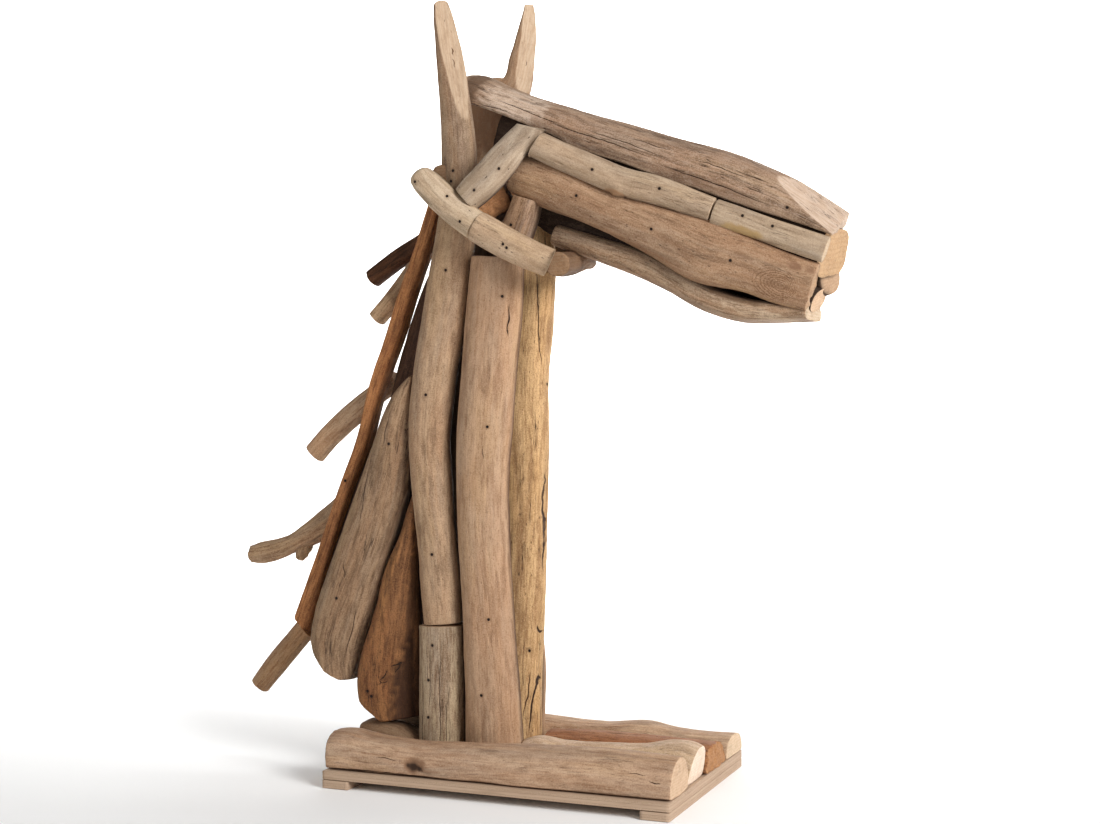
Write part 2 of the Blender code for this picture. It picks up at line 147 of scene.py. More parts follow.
def stickSurface(look):
    # A section carried along a smooth path: P = centre(u) + width(u) a(v) wide + depth(u) b(v) deep, with both ends
    # closed by the same section shrunk to its middle, then moved outwards by the worn height h(u, v).
    rows = np.array(look["stations"], float)
    length = np.linalg.norm(np.diff(rows[:, :3], axis=0), axis=1).sum()
    wayRound = 2.2 * (rows[:, 3].max() + rows[:, 4].max()) * 0.72  # about that of the thickest section
    around = int(np.clip(wayRound / look["step"][1], *meshLimits))
    a, b = sectionRing(look["form"], around)
    ends, domed = look["ends"], look["domed"]
    body = np.linspace(ends[0], length - ends[1], max(int(length / look["step"][0]), 6))
    at = np.concatenate([np.full(capRings, ends[0]), body, np.full(capRings, length - ends[1])])
    shrink = np.concatenate([capShrink, np.ones(len(body)), capShrink[::-1]])
    side = np.concatenate([-np.ones(capRings), np.zeros(len(body)), np.ones(capRings)])
    row = followRows(rows, at)
    ahead, back = np.minimum(at + 1.5, length), np.maximum(at - 1.5, 0)
    along = followRows(rows, ahead)[:, :3] - followRows(rows, back)[:, :3]
    along = along / np.linalg.norm(along, axis=1)[:, None]
    deep = np.array(look["deep"], float)
    deep = deep - (along @ deep)[:, None] * along
    deep = deep / np.linalg.norm(deep, axis=1)[:, None]
    wide = np.cross(deep, along)
    power = np.where(np.where(side < 0, *domed), domedPower, sawnPower)
    edge = np.where(side < 0, ends[0], ends[1])
    offset = side * edge * (1 - shrink**power) ** (1 / power)
    across = row[:, 3, None] * shrink[:, None] * a[None]
    into = row[:, 4, None] * shrink[:, None] * b[None]
    points = row[:, None, :3] + across[..., None] * wide[:, None] + into[..., None] * deep[:, None]
    local = np.stack([np.broadcast_to((at + offset)[:, None], across.shape), across, into], axis=-1)
    node = look["node"]
    seed = np.array([sum(ord(letter) for letter in node) * 0.37, len(node) * 5.1, look["seed"] * 3.7])

    def worn(kind, shift=0):
        return softNoise(local / np.array(wear[kind]) + seed + shift)

    torn = np.where(side < 0, *look["ragged"])[:, None] * worn("torn", 9) * (side != 0)[:, None]
    points = points + (offset[:, None] + torn)[..., None] * along[:, None]
    outward = across[..., None] * wide[:, None] + into[..., None] * deep[:, None]
    outward = outward / (np.linalg.norm(outward, axis=-1, keepdims=True) + 1e-6)
    flat = (side != 0)[:, None] * (1 - shrink[:, None] ** 6)
    outward = outward * (1 - flat[..., None]) + flat[..., None] * (side[:, None] * along)[:, None]
    relief = 0.62 * worn("ridges", 3) + 0.38 * worn("fibres", 5) + look["fine"] / look["ridges"] * worn("fine", 6)
    height = look["lumps"] * worn("lumps") + look["ridges"] * relief
    height = height * (1 - 0.88 * flat)
    # What is drawn on the near side is placed by x and z: q is the distance to it, 1 at its rim.
    x, z = points[..., 0], points[..., 2]
    facing = smoothStep(-outward[..., 1], -0.25, 0.15)
    run = rows[-1, [0, 2]] - rows[0, [0, 2]]
    run = run / np.linalg.norm(run) if np.linalg.norm(run) > 1 else np.array([1.0, 0.0])
    waver = softNoise(local / wear["waver"] + seed)
    # Painted shade on the side of an outer stick that faces the middle layer, where the sticks shade each other.
    middle = row[:, 1, None]
    inner = np.sign(middle) * (middle - points[..., 1]) / (0.5 * row[:, 4, None])
    inside = look["stainAndShade"] * smoothStep(inner, -0.25, 0.35) * (np.abs(middle) > wear["innerFrom"]) * (1 - flat)
    hollow = np.zeros_like(height)
    crackOff, crackHalf = np.full_like(height, 9.0), np.full_like(height, -4.0)
    for x0, z0, x1, z1, gapWidth, gapDepth in look["cracks"]:
        size = np.hypot(x1 - x0, z1 - z0)
        t = ((x - x0) * (x1 - x0) + (z - z0) * (z1 - z0)) / size**2
        off = ((x - x0) * (z1 - z0) - (z - z0) * (x1 - x0)) / size + 0.5 * waver + 0.5 * np.sin(9 * t + x0)
        taper = np.sqrt(np.clip(4 * t * (1 - t), 0, 1)) * facing
        height = height - gapDepth * taper * np.exp(-((off / (1.3 * gapWidth + 0.5)) ** 2))
        closer = (np.abs(off) < np.abs(crackOff)) & (t > -0.05) & (t < 1.05) & (facing > 0.02)
        half = 0.5 * gapWidth * taper - 0.4 * (1 - taper) - 0.5 * np.maximum(np.abs(off) - 2, 0)
        crackOff, crackHalf = np.where(closer, off, crackOff), np.where(closer, half, crackHalf)
    for kx, kz, radius, rise in look["knots"]:
        q = np.hypot(x - kx, z - kz) * (1 + 0.25 * waver) / radius + 4 * (1 - facing)
        height = height + rise * np.exp(-(q**2))
        # Knot holes are painted darker the deeper they are: painted shade in the hole.
        hollow = hollow + np.clip(-0.4 * rise, 0.1, 1) * np.exp(-((1.25 * q) ** 2))
    tones = {kind: np.zeros_like(height) for kind in ("pale", "warm", "darkMarkAndShade")}

    def ovalDistance(ox, oz, long, tall):
        onward, aside = (x - ox) * run[0] + (z - oz) * run[1], (z - oz) * run[0] - (x - ox) * run[1]
        return np.hypot(2 * onward / long, 2 * aside / tall) + 3 * (1 - facing)

    for kind, ox, oz, long, tall, share in look["spots"]:
        q = ovalDistance(ox, oz, long, tall) + 0.3 * waver
        tones[kind] = np.maximum(tones[kind], share * smoothStep(q, 1.25, 0.75))
    eye = np.zeros_like(height)
    for ox, oz, long, tall in look["eyes"]:
        fade = 0.9 * smoothStep(((x - ox) * run[0] + (z - oz) * run[1]) / long, 0.02, 0.55)
        eye = np.maximum(eye, np.clip(1.6 - ovalDistance(ox, oz, long, tall) - 0.05 * waver - fade, 0, 1.6))
    points = points + height[..., None] * outward
    sawn = np.broadcast_to(((side != 0) * (shrink < 0.97))[:, None], across.shape).astype(float)
    sawn = sawn * np.where(side < 0, not domed[0], not domed[1])[:, None]
    markSize, markHeight = wear["sawMarks"]
    for place, way in look["cuts"]:
        normal = np.array(way, float) / np.linalg.norm(way)
        over = (points - np.array(place, float)) @ normal
        points = points - np.maximum(over + markHeight * softNoise(points / markSize + seed), 0)[..., None] * normal
        sawn = np.maximum(sawn, smoothStep(over, -0.1, 0.7))
    poles = np.stack([points[0].mean(axis=0), points[-1].mean(axis=0)])
    rings = len(at)
    flatPoints = np.concatenate([points.reshape(-1, 3), poles])
    grain = np.concatenate([local.reshape(-1, 3), [[local[0, 0, 0], 0, 0], [local[-1, 0, 0], 0, 0]]])
    grain = grain / 1000 + seed * 0.31
    marks = {"hollow": np.clip(hollow, 0, 1), "sawn": sawn, "relief": 0.5 + 0.5 * relief, "crackOff": crackOff,
             "crackHalf": crackHalf, "eye": eye, "inside": inside, **tones}
    marks = {label: np.concatenate([m.reshape(-1), [m[0].mean(), m[-1].mean()]]) for label, m in marks.items()}
    i, j = np.meshgrid(np.arange(rings - 1), np.arange(around), indexing="ij")
    first, second = i * around + j, i * around + (j + 1) % around
    quads = np.stack([first, second, second + around, first + around], axis=-1).reshape(-1, 4)
    k = np.arange(around)
    startFan = np.stack([np.full(around, rings * around), (k + 1) % around, k], axis=-1)
    lastRing = (rings - 1) * around
    endFan = np.stack([np.full(around, rings * around + 1), lastRing + k, lastRing + (k + 1) % around], axis=-1)
    first3 = flatPoints[quads[:, :3]]
    if np.einsum("ij,ij->i", first3[:, 0], np.cross(first3[:, 1], first3[:, 2])).sum() < 0:
        quads, startFan, endFan = quads[:, ::-1], startFan[:, ::-1], endFan[:, ::-1]
    return flatPoints, (quads, startFan, endFan), grain, marks


boxGap = 2e-5  # m by which a piece stays inside the CAD box


def meshPiece(name, points, faceSets, grain=None, marks=None):
    # Fills a mesh from whole arrays; points are drawn millimetres and become metres in the row's frame.
    mesh = bpy.data.meshes.new(name)
    world = (points + drawing["shift"]) / 1000
    if grain is not None:
        world = np.clip(world, np.array(cadBox[0]) + (boxGap, boxGap, 0), np.array(cadBox[1]) - boxGap)
    corners = np.concatenate([f.reshape(-1) for f in faceSets]).astype(np.int32)
    sizes = np.concatenate([np.full(len(f), f.shape[1]) for f in faceSets]).astype(np.int32)
    starts = np.concatenate([[0], np.cumsum(sizes)[:-1]]).astype(np.int32)
    mesh.vertices.add(len(world))
    mesh.vertices.foreach_set("co", world.astype(np.float32).ravel())
    mesh.loops.add(len(corners))
    mesh.loops.foreach_set("vertex_index", corners)
    mesh.polygons.add(len(sizes))
    mesh.polygons.foreach_set("loop_start", starts)
    mesh.update(calc_edges=True)
    mesh.validate()
    mesh.shade_smooth()
    if grain is not None:
        held = mesh.attributes.new("grain", "FLOAT_VECTOR", "POINT")
        held.data.foreach_set("vector", grain.astype(np.float32).ravel())
    for label, values in (marks or {}).items():
        held = mesh.attributes.new(label, "FLOAT", "POINT")
        held.data.foreach_set("value", values.astype(np.float32))
    piece = bpy.data.objects.new(name, mesh)
    bpy.context.scene.collection.objects.link(piece)
    return piece


def nailPlaces(points, nails):
    # For each nail hole, the point of the near surface that lies closest to its x and z.
    found = []
    for x, z in nails:
        farHalf = points[:, 1] > np.median(points[:, 1])
        off = np.hypot(points[:, 0] - x, points[:, 2] - z) + 1000 * farHalf
        found.append((points[np.argmin(off)] + drawing["shift"]) / 1000)
    return found


# Wood finishes. The numbers are shares or sizes that a user would change.
woodDefaults = dict(
    light=(0.52, 0.35, 0.225), patch=(0.46, 0.28, 0.165), glow=(0.56, 0.36, 0.19), dark=(0.2, 0.115, 0.065),
    # deep is the near-black of splits and flecks, and of the painted shade in cracks, holes and on inner sides.
    grey=(0.33, 0.265, 0.21), deep=(0.035, 0.017, 0.009), fresh=(0.72, 0.52, 0.34),
    patches=0.7,  # share of the redder patches
    glows=0.45,  # share of the yellower patches
    greys=0.3,  # share of weathered grey
    streaks=0.5,  # dark fibres along the grain
    mottle=0.55,  # small blotches
    rings=0.06,  # year rings
    ringSize=3.1,  # mm between rings
    checks=0.4,  # fine dark splits along the grain
    pits=0.35,  # small dark flecks
    grimeAndShade=0.5,  # painted shade and grime: darker hollows between the ridges
    rough=0.84, bump=0.85, tint=(1, 1, 1), warm=(0.24, 0.1, 0.042), pith=(0.004, 0.009),
    sawnShare=0.85,  # share of fresh wood on a sawn face
    eyeRings=0,  # dark rings round an old branch
    specular=0.25, bumpDepth=0.0009,
    # holeColour is the painted shade inside a nail hole; holeStain is the stain round it.
    holeColour=(0.014, 0.006, 0.003), holeEdge=(0.0023, 0.0015), holeStain=(0.0052, 0.0016),  # m from the nail
)
woodTones = ("light", "patch", "glow", "dark", "grey", "fresh", "warm")  # what a tint changes


class Shade:
    # Small helper that adds nodes to one material and joins them.
    def __init__(self, name):
        self.material = bpy.data.materials.new(name)
        self.material.use_nodes = True
        self.tree = self.material.node_tree
        self.surface = self.tree.nodes["Principled BSDF"]

    def put(self, socket, value):
        if isinstance(value, bpy.types.NodeSocket):
            self.tree.links.new(value, socket)
        elif isinstance(value, tuple) and len(value) == 3 and socket.type == "RGBA":
            socket.default_value = (*value, 1.0)
        else:
            socket.default_value = value

    def node(self, kind, settings=None, **values):
        made = self.tree.nodes.new("ShaderNode" + kind)
        for key, value in (settings or {}).items():
            setattr(made, key, value)
        for key, value in values.items():
            self.put(made.inputs[key.replace("_", " ")], value)
        return made

    def maths(self, operation, *values):
        made = self.node("Math", {"operation": operation})
        for socket, value in zip(made.inputs, values):
            self.put(socket, value)
        return made.outputs[0]

    def times(self, first, second):
        return self.maths("MULTIPLY", first, second)

    def mix(self, factor, first, second):
        made = self.node("Mix", {"data_type": "RGBA"})
        self.put(made.inputs[0], factor)
        self.put(made.inputs[6], first)
        self.put(made.inputs[7], second)
        return made.outputs[2]

    def spread(self, value, low, high, toLow=0.0, toHigh=1.0):
        made = self.node("MapRange", {"interpolation_type": "SMOOTHSTEP"}, From_Min=low, From_Max=high,
                         To_Min=toLow, To_Max=toHigh)
        self.put(made.inputs["Value"], value)
        return made.outputs["Result"]

    def attribute(self, name, vector=False):
        made = self.node("Attribute", {"attribute_name": name})
        return made.outputs["Vector" if vector else "Fac"]

    def stretched(self, vector, scale, location=(0, 0, 0)):
        return self.node("Mapping", None, Vector=vector, Scale=scale, Location=location).outputs[0]

    def noise(self, vector, scale, detail=3.0, roughness=0.55):
        made = self.node("TexNoise", None, Vector=self.stretched(vector, scale), Scale=1.0, Detail=detail,
                         Roughness=roughness)
        return made.outputs[0]

    def coat(self, colour, rough, shine):
        for label, value in (("Base Color", colour), ("Roughness", rough), ("Specular IOR Level", shine)):
            self.put(self.surface.inputs[label], value)
        return self.material

    def finish(self, colour, rough, shine, bump, depth, height):
        # The bump has a strength, a depth in m and a height.
        relief = self.node("Bump", None, Strength=bump, Distance=depth, Height=height)
        self.put(self.surface.inputs["Normal"], relief.outputs[0])
        return self.coat(colour, rough, shine)


def tinted(colour, tint):
    return tuple(c * t for c, t in zip(colour, tint))


def woodMaterial(name, wood, holes):
    # Colour: red, yellow and grey patches, streaks and blotches, painted shade and grime in the hollows, then splits,
    # flecks, cracks and nail holes, with painted shade in the cracks, knot holes and nail holes, in dark spots and on
    # the inner sides.
    shade = Shade(name)
    maths, times, mix, spread = shade.maths, shade.times, shade.mix, shade.spread
    noise, attribute = shade.noise, shade.attribute
    look = {**woodDefaults, **wood}
    look.update((tone, tinted(look[tone], look["tint"])) for tone in woodTones)
    dark, deep = look["dark"], look["deep"]
    grain = attribute("grain", True)
    place = shade.node("TexCoord").outputs["Object"]
    hollow, sawn, relief = attribute("hollow"), attribute("sawn"), attribute("relief")
    streak = noise(grain, (40, 420, 420), 4.0, 0.72)
    longStreak = noise(grain, (6, 230, 230), 4.0, 0.62)
    speck = noise(place, (760, 760, 760), 3.0, 0.7)
    blotch = noise(grain, (62, 150, 150), 5.0, 0.68)
    wave = shade.node("TexWave", {"wave_type": "RINGS", "rings_direction": "X", "wave_profile": "SIN"},
                      Vector=shade.stretched(grain, (0.12, 1, 1), (0, *look["pith"])), Scale=314 / look["ringSize"],
                      Distortion=5, Detail=3, Detail_Scale=0.4, Detail_Roughness=0.6)
    ringWave = wave.outputs["Fac"]
    splitNoise = noise(grain, (8.5, 170, 170), 3.0, 0.6)
    split = times(spread(maths("ABSOLUTE", maths("SUBTRACT", splitNoise, 0.5)), 0.014, 0.004),
                  spread(noise(grain, (17, 75, 75)), 0.5, 0.6))
    cells = shade.node("TexVoronoi", None, Vector=shade.stretched(grain, (150, 430, 430)), Scale=1.0, Randomness=1.0)
    cellPick = shade.node("SeparateColor", None, Color=cells.outputs["Color"]).outputs[0]
    pit = times(spread(cells.outputs["Distance"], 0.26, 0.12), spread(cellPick, 0.8, 0.88))

    def over(base, share, amount, tone):
        return mix(times(share, amount), base, tone)

    colour = over(look["light"], spread(noise(grain, (8, 42, 42), 4.0, 0.6), 0.4, 0.6), look["patches"], look["patch"])
    colour = over(colour, spread(noise(grain, (5, 30, 30)), 0.5, 0.66), look["glows"], look["glow"])
    colour = over(colour, spread(noise(grain, (7, 64, 64), 5.0, 0.65), 0.46, 0.64), look["greys"], look["grey"])
    fresh = over(look["fresh"], spread(ringWave, 0.35, 1.0), 0.4, tinted(look["fresh"], (0.82, 0.72, 0.62)))
    fresh = over(fresh, spread(blotch, 0.4, 0.68), 0.5, tinted(look["fresh"], (0.78, 0.7, 0.62)))
    colour = over(colour, spread(longStreak, 0.51, 0.68), 0.75 * look["streaks"], dark)
    colour = over(colour, spread(ringWave, 0.45, 1.0), look["rings"], dark)
    # Painted shade and grime: darker where the worn surface is low.
    colour = over(colour, spread(relief, 0.52, 0.18), look["grimeAndShade"], dark)
    colour = over(colour, sawn, look["sawnShare"], fresh)
    marked = maths("MAXIMUM", attribute("darkMarkAndShade"), attribute("warm"))
    calm = maths("SUBTRACT", 1.0, maths("MAXIMUM", times(sawn, 0.65), times(marked, 0.8)))
    mottle, fibre = times(calm, look["mottle"]), times(calm, look["streaks"])
    colour = over(colour, attribute("pale"), 1.0, fresh)
    colour = over(colour, attribute("warm"), 1.0, look["warm"])
    # The dark spots: mostly painted shade on sides that lie in shade, a few darken real knots and stains.
    colour = over(colour, attribute("darkMarkAndShade"), 1.0, dark)
    if look["eyeRings"]:
        eye = maths("ADD", attribute("eye"), times(blotch, 0.1))
        rings = spread(maths("SINE", times(eye, 34.0)), 0.1, 0.7)
        rings = times(rings, spread(speck, 0.4, 0.53, 0.3, 1.0))
        colour = over(colour, times(rings, spread(eye, 0.05, 0.35)), look["eyeRings"], dark)
    colour = over(colour, spread(streak, 0.48, 0.64), fibre, dark)
    colour = over(colour, spread(blotch, 0.5, 0.68), times(mottle, 0.6), dark)
    colour = over(colour, spread(blotch, 0.49, 0.36), times(mottle, 0.35), look["fresh"])
    colour = over(colour, spread(speck, 0.52, 0.64), times(mottle, 0.75), dark)
    colour = over(colour, spread(speck, 0.48, 0.36), times(mottle, 0.45), look["fresh"])
    rim = times(split, look["checks"])
    colour = mix(rim, colour, deep)
    fleck = times(pit, look["pits"])
    colour = mix(fleck, colour, deep)
    # Near-black in the open cracks: painted shade in the split.
    wander = maths("ADD", attribute("crackOff"), times(maths("SUBTRACT", blotch, 0.5), 1.4))
    gape = maths("SUBTRACT", maths("ABSOLUTE", wander), attribute("crackHalf"))
    crack = spread(gape, 0.28, -0.12)
    colour = mix(crack, colour, deep)
    # Painted shade in the knot holes.
    colour = mix(spread(hollow, 0.12, 0.75), colour, deep)
    # Painted shade on the inner side of the outer sticks.
    colour = mix(times(attribute("inside"), 0.8), colour, deep)
    height = maths("ADD", times(streak, -0.9), times(speck, -0.5))
    height = maths("SUBTRACT", height, times(blotch, 0.9))
    height = maths("SUBTRACT", height, maths("ADD", maths("ADD", rim, fleck), times(crack, 1.5)))
    if holes:
        closest = None
        for hole in holes:
            off = shade.node("VectorMath", {"operation": "DISTANCE"})
            shade.put(off.inputs[0], place)
            off.inputs[1].default_value = tuple(float(c) for c in hole)
            closest = off.outputs["Value"] if closest is None else maths("MINIMUM", closest, off.outputs["Value"])
        closest = maths("ADD", closest, times(speck, 0.0009))
        pierced = spread(closest, *look["holeEdge"])
        colour = mix(times(spread(closest, *look["holeStain"]), 0.4), colour, dark)
        # Painted shade inside the nail hole, over the stain ring round it.
        colour = mix(pierced, colour, look["holeColour"])
        height = maths("SUBTRACT", height, times(pierced, 3.0))
    rough = spread(streak, 0.3, 0.8, look["rough"] - 0.1, look["rough"] + 0.1)
    return shade.finish(colour, rough, look["specular"], look["bump"], look["bumpDepth"], height)


def makeStick(piece):
    look = {**stickDefaults, "slot": piece["wood"]["slot"], **piece}
    points, faceSets, grain, marks = stickSurface(look)
    made = meshPiece(look["node"] + "_stick", points, faceSets, grain, marks)
    wood = woodMaterial(look["node"] + "_wood", look["wood"], nailPlaces(points, look["nails"]))
    made.data.materials.append(wood)
    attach(made, "root")
    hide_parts(look["node"])


def layer(rows, y, depth):
    # Rows drawn from the side as (x, z, width), all in one layer.
    return [(x, y, z, width, depth) for x, z, width in rows]


def mirrored(rows, shift=0.0):
    return [(x + shift, -y, z, width, depth) for x, y, z, width, depth in rows]


def farCopy(piece, node, seed, **changes):
    # The far side's twin of a near stick: the same shape turned over, plainer and on a coarser mesh.
    x, y, z = piece.get("deep", stickDefaults["deep"])
    bare = {"nails": (), "knots": (), "cracks": (), "spots": (), "eyes": ()}
    return {**piece, "node": node, "seed": seed, "stations": mirrored(piece["stations"]), "deep": (-x, y, -z), **bare,
            "step": (4, 2.2), **changes}


tan = dict(slot="tan_driftwood", light=(0.45, 0.29, 0.18), patch=(0.41, 0.235, 0.13), glow=(0.48, 0.3, 0.155),
    dark=(0.2, 0.105, 0.055), grey=(0.33, 0.245, 0.175), fresh=(0.6, 0.42, 0.27))
grey = dict(slot="grey_driftwood", light=(0.38, 0.25, 0.155), patch=(0.34, 0.2, 0.115), glow=(0.4, 0.27, 0.15),
    dark=(0.13, 0.075, 0.042), grey=(0.27, 0.205, 0.15), fresh=(0.57, 0.4, 0.26), greys=0.45)
cream = dict(slot="cream_driftwood", light=(0.51, 0.385, 0.265), patch=(0.47, 0.32, 0.195), glow=(0.52, 0.38, 0.21),
    dark=(0.26, 0.17, 0.1), grey=(0.37, 0.3, 0.235), fresh=(0.66, 0.51, 0.35), streaks=0.35, patches=0.5)
orange = dict(slot="orange_driftwood", light=(0.54, 0.33, 0.155), patch=(0.49, 0.275, 0.115), glow=(0.58, 0.37, 0.16),
    dark=(0.23, 0.115, 0.048), grey=(0.36, 0.24, 0.15), fresh=(0.66, 0.4, 0.2), greys=0.15)
red = dict(slot="red_driftwood", light=(0.29, 0.125, 0.05), patch=(0.23, 0.088, 0.033), glow=(0.34, 0.155, 0.06),
    dark=(0.08, 0.032, 0.013), grey=(0.18, 0.11, 0.07), fresh=(0.4, 0.19, 0.08), greys=0.15,
    deep=(0.018, 0.008, 0.004))
darkWood = dict(slot="dark_driftwood", light=(0.1, 0.05, 0.026), patch=(0.07, 0.032, 0.016),
    glow=(0.11, 0.055, 0.025), dark=(0.03, 0.013, 0.007), grey=(0.085, 0.06, 0.04), fresh=(0.26, 0.15, 0.08),
    greys=0.25, deep=(0.012, 0.006, 0.004))
# Orange wood painted nearly black: painted shade on the head's core sticks between the cheeks; their sawn ends keep
# the fresh colour.
shadedOrangeWood = dict(darkWood, slot="orange_driftwood", light=(0.03, 0.016, 0.009), patch=(0.02, 0.01, 0.006),
    glow=(0.035, 0.018, 0.01), grey=(0.03, 0.02, 0.014), mottle=0.12)

# The stand.
logFoot = 18.3  # just above the board's top at 18 mm


def halfLog(xRange, yRange, height, crest):
    # Rows along x for a half log that lies on the board; the crest gives (share of length, share of height).
    (x0, x1), (y0, y1) = xRange, yRange
    return [(x0 + s * (x1 - x0), (y0 + y1) / 2, logFoot + height * h / 2, height * h, y1 - y0) for s, h in crest]


up = (0, -1, 0)
logShape = dict(form="half", deep=up, stainAndShade=0)
halfLogs = [dict(
    node="log_front", ends=(2, 1), lumps=0.7,
    stations=halfLog((0, 375), (-127, -68.3), 39, ((0, 0.92), (0.03, 0.97), (0.13, 0.86), (0.26, 0.8), (0.43, 0.87),
        (0.61, 0.95), (0.78, 1), (0.89, 0.99), (1, 0.93))),
    knots=((102, 28.6, 6, -2.6), (109.5, 26.6, 4, -2), (96, 30, 3.4, -1.2), (141.8, 40.2, 1.4, -0.5)),
    cracks=((-2.5, 20.6, 139.9, 19.6, 0.9, 1.2), (352, 35.5, 366, 34, 0.6, 0.5), (330, 42, 350, 41, 0.4, 0.4),
        (60, 36, 84, 34, 0.4, 0.3)),
    spots=(("darkMarkAndShade", 103.5, 29.5, 26, 15, 0.95), ("warm", 100, 29.5, 9, 7, 0.7), ("darkMarkAndShade", 122, 25.5, 22, 3, 0.7),
        ("darkMarkAndShade", 375, 60, 14, 5, 0.6), ("pale", 55, 44, 70, 9, 0.4), ("pale", 250, 40, 160, 10, 0.3)),
    wood=dict(tan, greys=0.4, streaks=0.4, warm=(0.36, 0.2, 0.13), tint=(1.04, 1.06, 1.11)),
), dict(
    node="log_two_muzzle", ends=(2, 1.2),
    stations=halfLog((190.8, 375), (-62.3, -9.3), 40, ((0, 0.74), (0.05, 0.82), (0.2, 0.76), (0.45, 0.78),
        (0.72, 0.84), (0.88, 1), (0.95, 0.99), (1, 0.9))),
    wood=dict(cream, fresh=(0.76, 0.66, 0.55), streaks=0.4, tint=(1.16, 1.1, 1.08)),
), dict(
    node="log_two_mane", ends=(7, 2), domed=(1, 0), ragged=(2.5, 0),
    stations=halfLog((0, 69.2), (-62.3, -9.3), 40, ((0, 0.8), (0.18, 1), (0.45, 0.95), (0.75, 0.8), (1, 0.5))),
    # The dark tint on this log is painted shade.
    lumps=1.6, wood=dict(tan, patches=0.9, greys=0.4, tint=(0.51, 0.48, 0.44)),
), dict(
    node="log_three_muzzle", ends=(1.5, 2.5), ragged=(0, 2.2),
    stations=halfLog((190.8, 375), (-6.3, 62.3), 29, ((0, 0.93), (0.3, 1), (0.75, 0.97), (1, 0.93))),
    lumps=0.9, ridges=0.9, wood=dict(red, light=(0.42, 0.19, 0.085), patch=(0.34, 0.135, 0.055),
        fresh=(0.46, 0.25, 0.115), streaks=0.6, pits=0.8, tint=(0.92, 0.87, 0.84)),
), dict(
    node="log_three_mane", ends=(6, 2), domed=(1, 0),
    stations=halfLog((0, 69.2), (-6.3, 62.3), 47, ((0, 0.55), (0.26, 0.6), (0.42, 0.84), (0.6, 0.96), (1, 1))),
    wood=dict(grey, tint=(0.62, 0.6, 0.58)),
), dict(
    node="log_back", slot="cream_driftwood", ends=(2, 1), lumps=0.8,
    stations=halfLog((0, 375), (68.3, 131), 28.6, ((0, 0.85), (0.2, 0.93), (0.41, 0.96), (0.5, 0.89), (0.6, 0.86),
        (0.75, 1), (0.8, 0.88), (1, 0.8))),
    wood=dict(tan, light=(0.52, 0.35, 0.22), fresh=(0.68, 0.52, 0.36)),
)]
for piece in halfLogs:
    makeStick({**logShape, **piece})
print("half logs done")

plywood = dict(
    faces=(0.415, 0.285, 0.197), edgeLight=(0.46, 0.33, 0.23), edgeDark=(0.3, 0.195, 0.125), glue=(0.22, 0.13, 0.075),
    layer=2.95,  # mm, thickness of one layer
    bump=0.5, bumpDepth=0.0006, rough=0.8, specular=0.3,
)


def plywoodMaterial(name, endAxis):
    # Layers by height: every second one shows its end grain, with a thin glue line between them.
    shade = Shade(name)
    maths, times, mix, spread, noise = shade.maths, shade.times, shade.mix, shade.spread, shade.noise
    place = shade.node("TexCoord").outputs["Object"]
    axes = shade.node("SeparateXYZ", None, Vector=place)
    wave = noise(place, (22, 22, 60))
    level = maths("ADD", times(axes.outputs["Z"], 1000 / plywood["layer"]), times(wave, 0.24))
    odd = maths("MODULO", maths("FLOOR", level), 2.0)
    part = maths("FRACT", level)
    glue = maths("ADD", spread(part, 0.07, 0.02), spread(part, 0.93, 0.98))
    longFibre = noise(place, (30, 30, 1400) if endAxis else (16, 420, 900), 4.0, 0.65)
    endFibre = noise(place, (900, 900, 1100), 3.0, 0.6)
    # Random dark stains on the plywood.
    stainAndShade = noise(place, (18, 18, 120))
    light = mix(spread(longFibre, 0.4, 0.7), plywood["edgeLight"], plywood["faces"])
    darkLayer = mix(spread(endFibre, 0.4, 0.65), plywood["edgeLight"], plywood["edgeDark"])
    colour = mix(times(odd, 0.6), light, darkLayer)
    colour = mix(times(spread(stainAndShade, 0.5, 0.75), 0.5), colour, plywood["edgeDark"])
    colour = mix(times(glue, 0.5), colour, plywood["glue"])
    height = maths("SUBTRACT", maths("ADD", longFibre, times(odd, times(endFibre, 0.8))), glue)
    return shade.finish(colour, plywood["rough"], plywood["specular"], plywood["bump"], plywood["bumpDepth"], height)


boardDepth = 262
boardShape = dict(stickDefaults, form="board", deep=up, ends=(0.5, 0.5), lumps=0.05, ridges=0.06, fine=0.05,
    step=(3, 1.6))
boards = dict(  # x from and to, middle height, thickness
    base_board=(0, 375, 13.5, 9),
    runner_mane_end=(0, 30, 4.35, 8.7),
    runner_muzzle_end=(345, 375, 4.35, 8.7),
)
for node, (start, end, middle, thick) in boards.items():
    rows = [(x, 0, middle, thick, boardDepth) for x in (start, end)]
    points, faceSets, grain, marks = stickSurface({**boardShape, "node": node, "stations": rows})
    points[:, 2] = np.maximum(points[:, 2], middle - thick / 2)
    board = meshPiece(node + "_ply", points, faceSets, grain, marks)
    board.data.materials.append(plywoodMaterial(node + "_layers", node != "base_board"))
    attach(board, "root")
    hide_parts(node)
print("plywood done")

